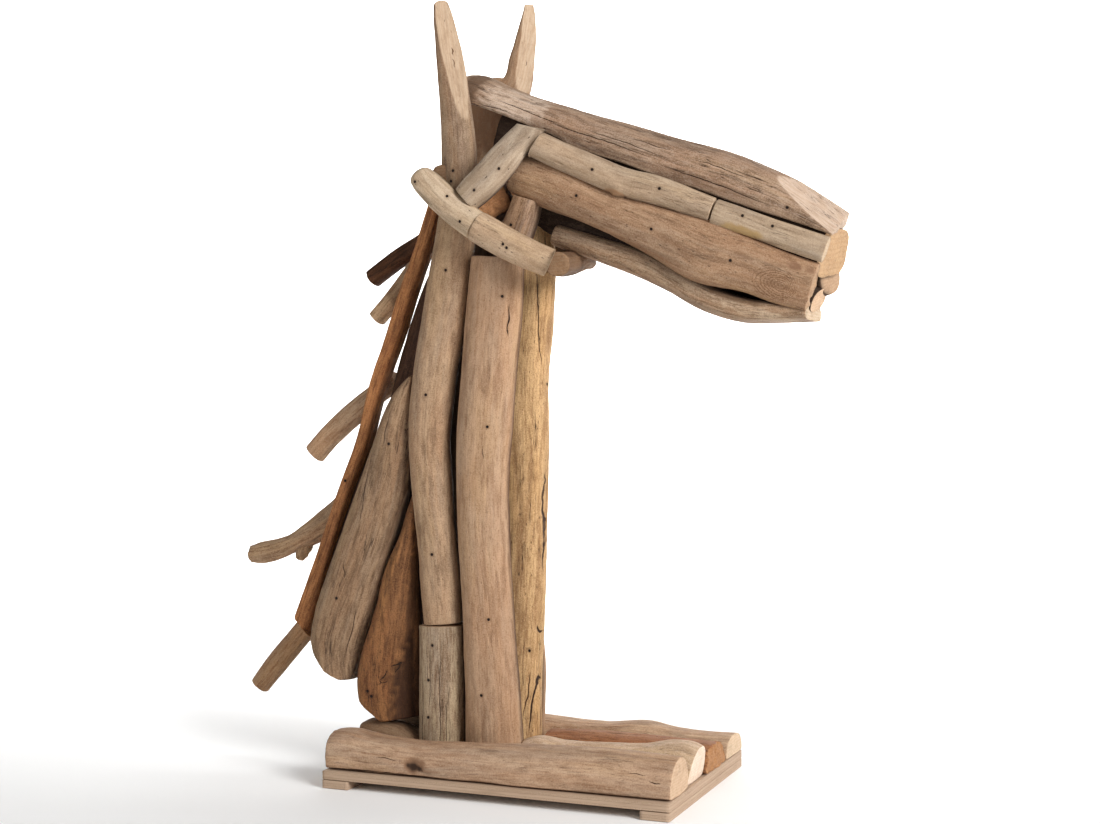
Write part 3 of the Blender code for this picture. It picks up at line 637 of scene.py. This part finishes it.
# The neck.
neckNearLong = dict(
    node="neck_near_long",
    stations=[(118, near, 618, 38, 34), (108, near, 554, 44, 38), (97, near, 483, 48, 39), (86, near, 422, 48, 39),
        (80, near, 353, 45, 38), (83, near, 310, 44, 38), (89.5, near, 252, 42, 37), (96.5, near, 164, 41, 37)],
    nails=((107.4, 536), (85.4, 406.4), (92.1, 239.2)), lumps=0.9,
    wood=dict(grey, greys=0.4, streaks=0.35, checks=0.15, tint=(1.09, 1.07, 1.04)),
)
neckNearStub = dict(
    node="neck_near_stub", ends=(1.2, 1.2),
    stations=layer([(94.3, 162.3, 49), (95.5, 104, 50), (95.5, 18.4, 50)], near, 38),
    nails=((92.5, 142.1), (88, 107.1), (88, 66.7)), ridges=0.7,
    cracks=((90, 155, 89, 60, 0.4, 0.5), (102, 150, 101, 20, 0.6, 0.7), (80, 120, 80, 22, 0.5, 0.5),
        (108, 90, 108, 20, 0.4, 0.5)),
    wood=dict(grey, light=(0.35, 0.265, 0.18), patch=(0.29, 0.205, 0.13), glow=(0.38, 0.29, 0.175), greys=0.75,
        streaks=0.7, checks=0.8, pits=0.6, grimeAndShade=0.7, tint=(1.15, 1.14, 1.12)),
)
neckNearWide = dict(
    node="neck_near_wide", ends=(1.6, 1),
    stations=layer([(160.6, 549, 56), (156, 492, 60), (150, 426, 59), (145, 358, 59), (143.5, 296, 55),
        (145, 248, 55), (149, 186, 55), (152.5, 128, 57), (157, 45, 62), (158, 18.4, 63)], near - 2, 43),
    nails=((174.2, 505.8), (156.8, 371.5), (158.4, 172.2), (151.4, 95.5)), lumps=0.9,
    cuts=(((150, near - 21.6, 549), (0.05, -1, 0.42)),),
    cracks=((180.3, 500, 177.5, 464, 0.9, 1.4), (152, 352, 153, 338, 0.4, 0.4)),
    wood=dict(tan, streaks=0.35, checks=0.15, fresh=(0.56, 0.36, 0.235), sawnShare=0.6),
)
neckNearSlanting = dict(
    node="neck_near_slanting", ends=(3, 8), domed=(1, 1), ragged=(0, 3),
    stations=layer([(60, 427, 5), (51.5, 412, 18), (44.5, 392, 30), (35, 350, 43.5), (23, 300, 57), (7, 250, 64),
        (-12, 200, 66), (-26, 160, 65), (-32, 140, 62), (-33, 118, 58), (-30, 92, 50)], near + 4, 34),
    deep=(-0.25, 0.97, 0), nails=((38.2, 352.8), (-23.9, 185.8)), ridges=0.7,
    cracks=((-16.2, 225, -14, 208, 0.9, 1), (14, 330, 2, 262, 0.5, 0.5), (-2, 180, -18, 122, 0.6, 0.6),
        (38, 385, 30, 350, 0.6, 0.6)),
    cuts=(((-57, near, 130), (-0.93, 0, -0.37)), ((-46, near, 113), (-0.78, 0, -0.62)),
        ((-30, near, 101), (-0.45, 0, -0.89)), ((-14, near, 97.5), (-0.05, 0, -1)),
        ((-10.5, near, 108), (0.95, 0, -0.3))),
    # The two dark spots are painted shade.
    spots=(("darkMarkAndShade", 34, 225, 190, 24, 0.55), ("darkMarkAndShade", 3, 128, 90, 18, 0.85), ("pale", 52, 395, 60, 16, 0.4)),
    wood=dict(grey, streaks=0.7, checks=0.8, greys=0.5, grimeAndShade=0.6, tint=(0.8, 0.76, 0.71)),
)
neckNearWedge = dict(
    node="neck_near_wedge", ends=(2, 1.5), domed=(1, 0),
    stations=layer([(60, 299, 4), (53.5, 258, 18), (44, 215, 37), (40, 170, 50), (34, 123, 67), (32.5, 96, 73),
        (34, 77, 70), (37, 57.9, 58)], near + 5, 30), deep=(-0.42, 0.9, 0),
    cuts=(((8, near, 72.5), (-0.6, 0, -0.8)), ((-2.2, near, 87), (-0.93, 0, -0.36))),
    nails=((13.8, 90.7), (19.2, 84.6)),
    knots=((30, 104, 5, -0.9), (43, 114, 5, -1), (36, 98, 4, 1.4), (19.2, 104.5, 1.4, -0.8), (12.7, 98.2, 1.4, -0.8),
        (20.7, 96.5, 1.3, -0.8)), lumps=1.5, ridges=0.8,
    cracks=((26, 100, 36, 113, 0.9, 1.2), (38, 115, 50, 121, 0.9, 1.2), (49, 119, 41, 106, 0.7, 1),
        (24, 96, 37, 101, 0.6, 0.8)),
    # The large dark spots are painted shade on the wedge's right and lower side; the two small ones darken its knots.
    spots=(("darkMarkAndShade", 60, 88, 130, 40, 0.97), ("darkMarkAndShade", 68, 84, 90, 30, 1), ("darkMarkAndShade", 62, 200, 160, 10, 0.7),
        ("darkMarkAndShade", 44, 112, 10, 12, 0.6), ("darkMarkAndShade", 30, 103, 8, 10, 0.5), ("darkMarkAndShade", 1, 130, 90, 8, 0.6)),
    wood=dict(red, light=(0.3, 0.135, 0.055), glow=(0.42, 0.2, 0.08), glows=0.8, dark=(0.055, 0.022, 0.01),
        streaks=0.6, checks=0.6, pits=0.6, sawnShare=0.2, mottle=0.7, tint=(0.81, 0.78, 0.72)),
)
innerSticks = [dict(
    node="neck_front", ends=(1.2, 1),
    stations=layer([(178, 594, 51), (178, 533, 56), (174, 486, 58), (169.5, 433, 58), (168.5, 347, 58),
        (167.5, 272, 58), (165, 186, 57), (161.5, 122, 57), (160, 18.4, 57)], 0, 43),
    nails=((197.8, 418.5), (183.3, 134.9)), ridges=0.8, lumps=1,
    knots=((175.2, 280, 3.6, -1.3), (175, 287, 2.6, -1.2), (195.5, 418.6, 2.6, -1.2), (183.2, 137.4, 3.6, -1.3)),
    cracks=((190.3, 163, 193.8, 145, 1, 1.5), (193.8, 148, 182.8, 45, 1.1, 2), (185.7, 116, 177.5, 60, 0.7, 1.3),
        (193, 560, 196, 430, 0.7, 1), (197, 330, 195, 215, 0.8, 1.1)),
    wood=dict(orange, streaks=0.65, checks=0.8, pits=0.7, rings=0.15, mottle=0.75, grimeAndShade=0.75, tint=(1.04, 1.08, 1.12)),
), dict(
    node="neck_back", ends=(4, 9), domed=(0, 1),
    stations=layer([(95, 560, 40), (81, 526, 47), (53.5, 452, 48), (42, 420, 45), (34.5, 397, 42), (15, 350, 39),
        (-3, 312, 44), (-17, 274, 47), (-40, 216, 46), (-60, 165, 42), (-70, 138, 26)], 0, 43),
    # The dark tint is painted shade deep between the neck sticks.
    wood=dict(darkWood, tint=(0.7, 0.6, 0.55)),
), dict(
    node="neck_short_post", form="plank", ends=(1.5, 1),
    stations=layer([(193.5, 609, 28), (187.5, 591, 31), (179.5, 572, 33), (169.5, 550, 35)], near, 31),
    nails=((180.6, 580.3),), wood=dict(grey, light=(0.38, 0.25, 0.17), grey=(0.29, 0.22, 0.185), greys=0.7,
        streaks=0.75, tint=(1.03, 0.98, 0.91)),
), dict(
    node="neck_cross_log", form="plank", deep=(1, 0, 0.5), ends=(3, 3), ragged=(1.5, 1.5),
    stations=[(150, -46, 609, 36, 40), (148, -38, 611, 42, 44), (138, -20, 613, 54, 48), (138, 22, 614, 54, 48)],
    # The bright tint is painted light: it lifts this log out of the shade it sits in.
    wood=dict(red, light=(0.44, 0.21, 0.095), patch=(0.38, 0.17, 0.075), fresh=(0.5, 0.25, 0.12), streaks=0.6,
        sawnShare=0.6, tint=(1.38, 1.36, 1.32)),
)]
longFoot = [(91, far, 120, 43, 37), (93, far, 18.4, 43, 37)]
wideFoot = [(147, far + 2, 128, 57, 43), (146, far + 2, 45, 56, 43), (145.5, far + 2, 18.4, 56, 43)]
farSticks = (
    farCopy(neckNearLong, "neck_far_long", 3, stations=mirrored(neckNearLong["stations"], -10)[:-1] + longFoot),
    farCopy(neckNearWide, "neck_far_wide", 5, stations=mirrored(neckNearWide["stations"], -10)[:-3] + wideFoot,
            cuts=()),
    # The far slanting stick is grey wood given the dark finish: painted shade behind the neck.
    farCopy(neckNearSlanting, "neck_far_slanting", 7, slot="grey_driftwood", wood=darkWood),
    farCopy(neckNearWedge, "neck_far_wedge", 9, cuts=(((38, far, 66), (0, 0, -1)),)),
)
for piece in (neckNearLong, neckNearStub, neckNearWide, neckNearSlanting, neckNearWedge, *innerSticks, *farSticks):
    makeStick(piece)
print("neck done")

# The mane.
behind = 12.5
maneSticks = [dict(
    node="mane_strip", form="plank", ends=(2, 2),
    stations=layer([(79, 626, 14), (71.5, 602, 14), (60, 568, 16), (40, 516, 17), (22, 465, 16.5), (4.5, 420, 16),
        (-15.5, 352, 15), (-35.5, 303, 15), (-65.5, 221, 17), (-90, 156, 21), (-104, 124, 21)], -13, 23),
    nails=((-32.1, 313.1),), lumps=0.5, ridges=0.5, step=(2.2, 1), cuts=(((-96.3, -24, 156.3), (-0.72, 0, -0.69)),),
    # The strong bright tint is partly painted light that lifts the strip out of shade, partly its own lighter wood.
    wood=dict(red, streaks=0.7, rings=0.2, tint=(1.68, 1.64, 1.52)),
), dict(
    node="mane_stick_1", ends=(2.5, 2), ragged=(1.5, 0), lumps=0.8,
    stations=layer([(-18.5, 537, 21), (14.5, 558, 22), (52, 578, 21), (86, 598, 20)], behind, 22),
    wood=dict(darkWood, checks=0.8, streaks=0.8, fresh=(0.22, 0.1, 0.05), tint=(0.95, 0.75, 0.55)),
), dict(
    node="mane_stick_2", slot="cream_driftwood", ends=(2, 2), lumps=0.8,
    stations=layer([(-13, 492, 20), (5, 510, 21), (20, 526, 22), (38, 548, 22)], behind, 22),
    spots=(("pale", -4, 499, 34, 30, 0.9),),
    wood=dict(grey, light=(0.37, 0.27, 0.17), greys=0.7, fresh=(0.6, 0.44, 0.3), tint=(1, 0.9, 0.78)),
), dict(
    node="mane_stick_3", ends=(2.2, 2), lumps=0.9,
    stations=layer([(-92.5, 340.5, 26), (-73, 360, 26), (-43, 385, 27), (-14, 407, 24), (14, 424, 22)], behind, 22),
    wood=dict(tan, light=(0.42, 0.28, 0.18), sawnShare=0.2, tint=(1.12, 1.1, 1.05)),
), dict(
    node="mane_stick_4", ends=(1.5, 2), ragged=(3, 0), lumps=1,
    stations=layer([(-174, 224, 20), (-163, 225.5, 25), (-152, 227.5, 26), (-137, 231.5, 24), (-120, 238, 22),
        (-101, 247.5, 27), (-80, 260, 31), (-58, 277, 29), (-36, 299, 24)], behind, 22),
    wood=dict(grey, light=(0.38, 0.25, 0.14), streaks=0.7, checks=0.6, tint=(1.1, 1.05, 1)),
), dict(
    node="mane_stick_5", ends=(2.5, 2), lumps=0.9,
    stations=layer([(-164, 73, 23), (-138, 104, 26), (-105, 140, 25), (-78, 168, 24)], behind, 22),
    wood=dict(tan, light=(0.36, 0.23, 0.13), streaks=0.6, pits=0.5, sawnShare=0.3, tint=(0.85, 0.79, 0.72)),
)]
maneStub = dict(  # broken side branch of the fourth stick
    stations=layer([(-104, 243, 18), (-106, 236, 22), (-108.5, 229, 17), (-109.5, 219.5, 12)], behind, 14),
    ends=(2, 4), domed=(0, 1), lumps=0.9, ragged=(0, 1.5), step=(1.6, 1.2),
)
for piece in maneSticks:
    makeStick(piece)
stubLook = {**stickDefaults, **maneSticks[4], **maneStub}
stubPoints, stubFaces, stubGrain, stubMarks = stickSurface(stubLook)
stub = meshPiece("mane_stick_4_stub", stubPoints, stubFaces, stubGrain, stubMarks)
stub.data.materials.append(woodMaterial("mane_stub_wood", stubLook["wood"], ()))
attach(stub, "root")
print("mane done")

# The halter.
halterBack = dict(
    node="halter_near_back", ends=(9, 1.6), domed=(1, 0), lumps=0.9,
    stations=layer([(83.5, 639, 20), (89, 631, 27), (101, 619, 31), (125.5, 597, 30), (151.5, 579, 31)],
        halterNear, 27), nails=((86.8, 626.4), (137.4, 583.4), (123.5, 609)),
    wood=dict(cream, pits=0.8, patches=0.6, tint=(1.1, 1.12, 1.15)),
)
halterFront = dict(
    node="halter_near_front", ends=(1.6, 2), lumps=0.7,
    stations=layer([(152, 578.5, 31), (183, 561, 32), (208.5, 548.5, 31), (236, 536.5, 28), (256, 529, 26)],
        halterNear - 2, 26), cuts=(((236.5, -90, 536), (0.82, 0.4, -0.4)),), nails=((191.4, 553.2), (186.2, 558.1)),
    wood=dict(cream, pits=0.7, patches=0.75, tint=(1.02, 0.97, 0.95)),
)
halterCheek = dict(
    node="halter_near_cheek", ends=(3.5, 2), lumps=0.8,
    stations=[(214, -60, 690, 25, 22), (206, -62, 680, 26, 22), (190, -64, 664, 29, 22), (178, -69, 648, 34, 25),
        (165, -73, 632.5, 35, 26), (150, -75, 618, 34, 26), (138, -76, 607, 30, 26)],
    nails=((177.3, 634.7), (153.3, 614.3)), cuts=(((204, -74, 679), (0.28, -0.1, 0.96)),),
    wood=dict(cream, pits=0.9, tint=(0.84, 0.86, 0.91), sawnShare=0.3),
)
halterThroat = dict(
    node="halter_throat", deep=(1, 0, 0), ends=(2, 3), lumps=1,
    stations=[(235.5, -66, 538, 25, 25), (234, -40, 540, 25, 25), (233, 10, 549, 23, 23), (231, 36, 549, 15, 18)],
    # The dark tint is painted shade under the head.
    wood=dict(tan, streaks=0.6, patches=0.9, tint=(0.54, 0.48, 0.43)),
)
halterCrown = dict(
    node="halter_crown", deep=(1, 0, 0), ends=(2, 2), lumps=0.7,
    stations=[(101, -58, 636.5, 22, 22), (97, 0, 638, 23, 23), (98, 61, 637, 22, 22)],
    wood=dict(orange, streaks=0.6, tint=(0.36, 0.35, 0.39)),
)
farHalter = (
    farCopy(halterBack, "halter_far_back", 2),
    farCopy(halterFront, "halter_far_front", 4, cuts=(),
            stations=layer([(152, 578.5, 31), (180, 563, 32), (200, 553, 28)], -halterNear, 26)),
    farCopy(halterCheek, "halter_far_cheek", 6, cuts=(((204, 74, 679), (0.28, 0.1, 0.96)),)),
)
for piece in (halterBack, halterFront, halterCheek, halterThroat, halterCrown, *farHalter):
    makeStick(piece)
print("halter done")

# The head.
headSticks = [dict(
    node="ear_near", stainAndShade=0, ends=(5, 2), domed=(1, 0), lumps=0.7, step=(2.2, 1.1),
    stations=[(107.2, -72, 817, 16.5, 10), (109.3, -71, 805, 21.5, 14), (111.7, -68.5, 785, 25, 18),
        (113.7, -63, 756, 29, 22), (115.5, -56, 715, 33, 26), (116.5, -47, 664, 38, 29), (116, -43, 618, 38, 30)],
    cuts=(((116, -71, 729), (0.69, -0.72, 0.07)),), nails=((115.4, 640.1), (113.3, 629.8)),
    cracks=((123.6, 769.5, 124.2, 759.5, 0.6, 0.4), (123.4, 757.8, 125.1, 746.5, 0.6, 0.4),
        (117.2, 798.5, 117.9, 793.5, 0.3, 0.2)),
    wood=dict(grey, fresh=(0.55, 0.41, 0.285), deep=(0.15, 0.075, 0.035), streaks=0.45, checks=0.25,
        tint=(0.93, 0.92, 0.92)),
), dict(
    node="ear_far", stainAndShade=0, ends=(5, 2), domed=(1, 0), lumps=0.7, step=(2.2, 1.1),
    stations=[(148, 69, 843.5, 9, 8), (148.5, 67, 828, 15, 13), (147, 65, 808, 22, 17), (144, 59, 778, 29, 20),
        (139.5, 54.5, 750, 36, 24), (121.5, 51, 728, 71, 26), (119, 48, 699, 68, 27), (116, 43, 655, 54, 29),
        (115, 42, 618, 48, 30)], cuts=(((142, 41, 747), (0.66, -0.74, 0.16)),),
    # The dark spot is painted shade under the head's top stick.
    spots=(("darkMarkAndShade", 116, 708, 66, 110, 0.9),), cracks=((154.8, 777, 154.2, 769, 0.35, 0.2),),
    wood=dict(tan, light=(0.38, 0.25, 0.155), deep=(0.1, 0.05, 0.024), fresh=(0.575, 0.435, 0.31), streaks=0.4,
        checks=0.2),
), dict(
    node="head_top", form="half", deep=headRoll, ends=(6, 1.2), domed=(1, 0), lumps=1, ridges=0.75,
    stations=[(104, 0, 740, 27, 56), (112, 0, 738.5, 29, 68), (147, 0, 725, 24.5, 74), (180, 0, 711.3, 24, 76),
        (220, 0, 695.5, 28.5, 77), (255, 0, 680.2, 35, 77), (299, 0, 664.6, 36, 78), (350, 0, 646, 38.5, 78),
        (397, 0, 629.5, 41, 78), (422, 0, 619, 40, 78), (454, 0, 605.5, 36, 77), (484, 0, 590.5, 28, 76),
        (517, 0, 573.3, 19, 75)],
    cuts=(((452, 0, 629.5), (0.62, -0.35, 0.7)), ((512, 0, 576), (0.92, 0.1, -0.38))), nails=((465.6, 587.5),),
    cracks=((210, 690, 330, 644, 0.7, 1), (255, 679, 352, 640, 0.5, 0.8), (330, 640, 452, 590, 0.8, 1.1),
        (150, 718, 232, 683, 0.6, 0.8), (362, 645, 430, 618, 0.5, 0.6), (300, 668, 345, 652, 0.5, 0.7),
        (128, 716, 175, 700, 0.5, 0.7)),
    # The dark spot at the left end is painted shade; the faint one darkens the lower edge.
    spots=(("pale", 172, 713, 76, 34, 0.9), ("darkMarkAndShade", 122, 731, 20, 90, 0.9), ("darkMarkAndShade", 395, 612, 120, 10, 0.3)),
    wood=dict(grey, streaks=0.65, checks=0.9, greys=0.35, fresh=(0.62, 0.475, 0.35), grimeAndShade=0.6,
        tint=(0.98, 0.98, 1.03)),
), dict(
    node="head_near_strip_back", ends=(2.5, 1.2), lumps=0.9,
    stations=[(197, -63, 669, 27, 26), (213, -60.5, 661, 28, 27), (240, -54, 647.7, 29.5, 27),
        (268, -51, 635, 30, 26), (297, -48, 621.5, 30, 25), (336.5, -45, 609.6, 29.5, 22), (368.5, -43, 597, 26, 20),
        (391, -41, 588.5, 24, 18)],
    nails=((270.5, 632.5), (341.3, 610.2)), knots=((294, 607, 7.5, 2.6), (286.5, 608.5, 2.6, -1.6),
        (302, 603.5, 2.4, -1.4)), spots=(("warm", 294, 608, 24, 9, 0.9), ("darkMarkAndShade", 302, 602.5, 26, 6, 0.8)),
    cuts=(((215, -72, 665), (-0.83, -0.15, 0.56)),),
    wood=dict(cream, streaks=0.4, warm=(0.33, 0.18, 0.09), tint=(0.86, 0.84, 0.84)),
), dict(
    node="head_near_strip_front", ends=(1.2, 1.2), lumps=0.9,
    stations=[(393, -41, 586.6, 26, 18), (427, -40, 574, 25, 16), (465, -39, 559.5, 26, 15),
        (504.5, -38, 545, 25, 14)],
    nails=((422.9, 580.5), (452.4, 570)), spots=(("warm", 424, 565, 44, 10, 0.95), ("darkMarkAndShade", 447, 553.5, 30, 4, 0.7)),
    wood=dict(cream, greys=0.5, warm=(0.46, 0.3, 0.13), tint=(0.86, 0.85, 0.85)),
), dict(
    node="head_near_cheek", ends=(9, 1.2), domed=(1, 0), ragged=(0, 2), lumps=1.2,
    stations=[(173, -46, 638, 33, 28), (186, -45, 634, 42, 33), (219, -44, 621.5, 47, 33),
        (259, -43, 602.3, 40.5, 31), (307, -42, 582.3, 44.5, 28), (341, -41, 566.8, 52.5, 26),
        (381, -40, 547.8, 61.5, 23), (428, -38, 532, 52, 19), (466, -37, 517, 50, 17), (491.5, -37, 509, 48, 16)],
    nails=((253.7, 607.2), (332, 570), (412.5, 536.9)),
    spots=(("warm", 475, 530.5, 14, 8, 0.8), ("warm", 490, 525.5, 7, 6, 0.6), ("darkMarkAndShade", 216, 590, 90, 12, 0.45),
        ("darkMarkAndShade", 330, 548, 90, 8, 0.3)), eyes=((461, 510.5, 42, 22),),
    wood=dict(tan, light=(0.38, 0.23, 0.135), patch=(0.34, 0.185, 0.1), dark=(0.16, 0.082, 0.042), greys=0.35,
        streaks=0.45, pits=0.7, eyeRings=0.95, sawnShare=0.35, warm=(0.2, 0.1, 0.055), tint=(0.92, 0.92, 0.92)),
), dict(
    node="head_far_strip", ends=(2.5, 1.2), step=(3.5, 2),
    stations=[(199, 48, 668, 23, 26), (265, 46, 637, 28, 25), (357, 43, 601, 25, 14), (430, 43, 572, 25, 12),
        (503, 43, 549, 25, 11)], wood=cream,
), dict(
    node="head_far_cheek", deep=headRoll, ends=(6, 1.2), domed=(1, 0), step=(3, 1.6),
    stations=[(175, 45, 638, 40, 30), (186, 45, 632, 52, 33), (219, 45, 611, 64, 33), (307, 43, 570, 62, 28),
        (381, 40, 537, 66, 27), (440, 33, 521, 56, 34), (496, 21, 523, 34, 50)],
    wood=dict(tan, light=(0.42, 0.26, 0.155), fresh=(0.8, 0.53, 0.33), tint=(0.6, 0.6, 0.6)),
), dict(
    node="head_upper_core", form="plank", deep=headRoll, ends=(2, 1.2), step=(3, 1.2),
    stations=[(150, 0, 688, 48, 50), (300, 0, 628, 48, 54), (390, 0, 590, 47, 60), (512, -1, 542, 46, 68)],
    cuts=(((498, -30, 546), (0.95, -0.17, -0.26)),), cracks=((503, 558, 499, 532, 0.5, 0.6),),
    wood=dict(shadedOrangeWood, fresh=(0.49, 0.315, 0.175), rings=0.1, ringSize=5, sawnShare=1),
), dict(
    node="head_lower_core", deep=headRoll, ends=(2, 1.5), step=(3, 1.2),
    stations=[(190, 0, 602, 38, 50), (265, 0, 574, 36, 50), (330, 0, 553, 26, 48), (430, 0, 519, 27, 50),
        (489, 0, 498.5, 24, 52)], wood=dict(shadedOrangeWood, fresh=(0.6, 0.41, 0.265), rings=0.1, sawnShare=1),
), dict(
    node="head_jaw", form="plank", ends=(1.6, 1.5), lumps=0.9, ridges=0.7,
    stations=[(217, -1, 573, 23, 70), (267, -1, 555.5, 26, 73), (308, -1, 540.5, 28, 74), (347, -1, 521, 27, 74),
        (380, -1, 503, 28, 74), (410, -1, 492, 25.5, 74), (442, -1, 488, 20, 74), (484, -1, 486.5, 16.5, 73)],
    # The two dark spots are painted shade along the jaw's top, under the cheek.
    spots=(("darkMarkAndShade", 412, 503, 60, 10, 0.85), ("darkMarkAndShade", 452, 496, 60, 5, 0.7), ("pale", 440, 484, 90, 10, 0.5)),
    wood=dict(grey, streaks=0.7, checks=0.5, fresh=(0.6, 0.46, 0.32)),
)]
for piece in headSticks:
    makeStick(piece)
print("head done")

# Floor, light and camera, in metres.
studio = dict(  # the floor has a colour, a roughness and a shine
    floor=((0.95, 0.95, 0.945), 0.9, 0.1), floorGap=0.0002, sky=(1, 0.995, 0.985), skyStrength=0.25,
    key=dict(place=(2.9, -1.5, 1.75), aim=(0, 0, 0.35), size=1.7, watts=140),
    fill=dict(place=(-1.9, -2.9, 1.5), aim=(0, 0, 0.35), size=2.6, watts=25),
    backdrop=dict(place=(-0.3, 1.5, 2.6), aim=(-1.2, 4, 0.9), size=2.2, watts=260),
    camera=dict(place=(0.834, -1.444, 0.388), turn=21.9, lens=52.36, sensor=36),  # from the board's corner
)


def floorSheet():
    # A flat sheet whose far edge rises smoothly behind the object: z = rise * (t*t*(3-2t)) squared, t by distance.
    columns, rows = 40, 90
    across, away = np.meshgrid(np.linspace(-4, 4, columns), np.linspace(-3, 4, rows), indexing="ij")
    height = 3.0 * smoothStep(away, 2.0, 4.0) ** 2 - studio["floorGap"]
    points = np.stack([across, away, height], axis=-1).reshape(-1, 3) * 1000 - drawing["shift"]
    i, j = np.meshgrid(np.arange(columns - 1), np.arange(rows - 1), indexing="ij")
    first = (i * rows + j).reshape(-1)
    made = meshPiece("floor", points, (np.stack([first, first + rows, first + rows + 1, first + 1], axis=-1),))
    made.data.materials.append(Shade("floor_paint").coat(*studio["floor"]))


def softLight(name, settings):
    lamp = bpy.data.lights.new(name, "AREA")
    lamp.shape = "DISK"
    lamp.size = settings["size"]
    lamp.energy = settings["watts"]
    holder = bpy.data.objects.new(name, lamp)
    bpy.context.scene.collection.objects.link(holder)
    holder.location = settings["place"]
    holder.rotation_euler = (Vector(settings["aim"]) - holder.location).to_track_quat("-Z", "Y").to_euler()


floorSheet()
for name in ("key", "fill", "backdrop"):
    softLight(name + "_light", studio[name])
world = bpy.data.worlds.new("studio")
bpy.context.scene.world = world
world.use_nodes = True
sky = world.node_tree.nodes["Background"].inputs
sky["Color"].default_value = (*studio["sky"], 1)
sky["Strength"].default_value = studio["skyStrength"]
view = studio["camera"]
lensData = bpy.data.cameras.new("camera")
lensData.lens = view["lens"]
lensData.sensor_width = view["sensor"]
camera = bpy.data.objects.new("camera", lensData)
bpy.context.scene.collection.objects.link(camera)
camera.location = np.array(view["place"]) + (boardLow.x, boardLow.y, 0)
camera.rotation_euler = (np.pi / 2, 0, np.radians(view["turn"]))
bpy.context.scene.camera = camera
bpy.context.scene.view_settings.view_transform = "Standard"
print("floor, light and camera done")
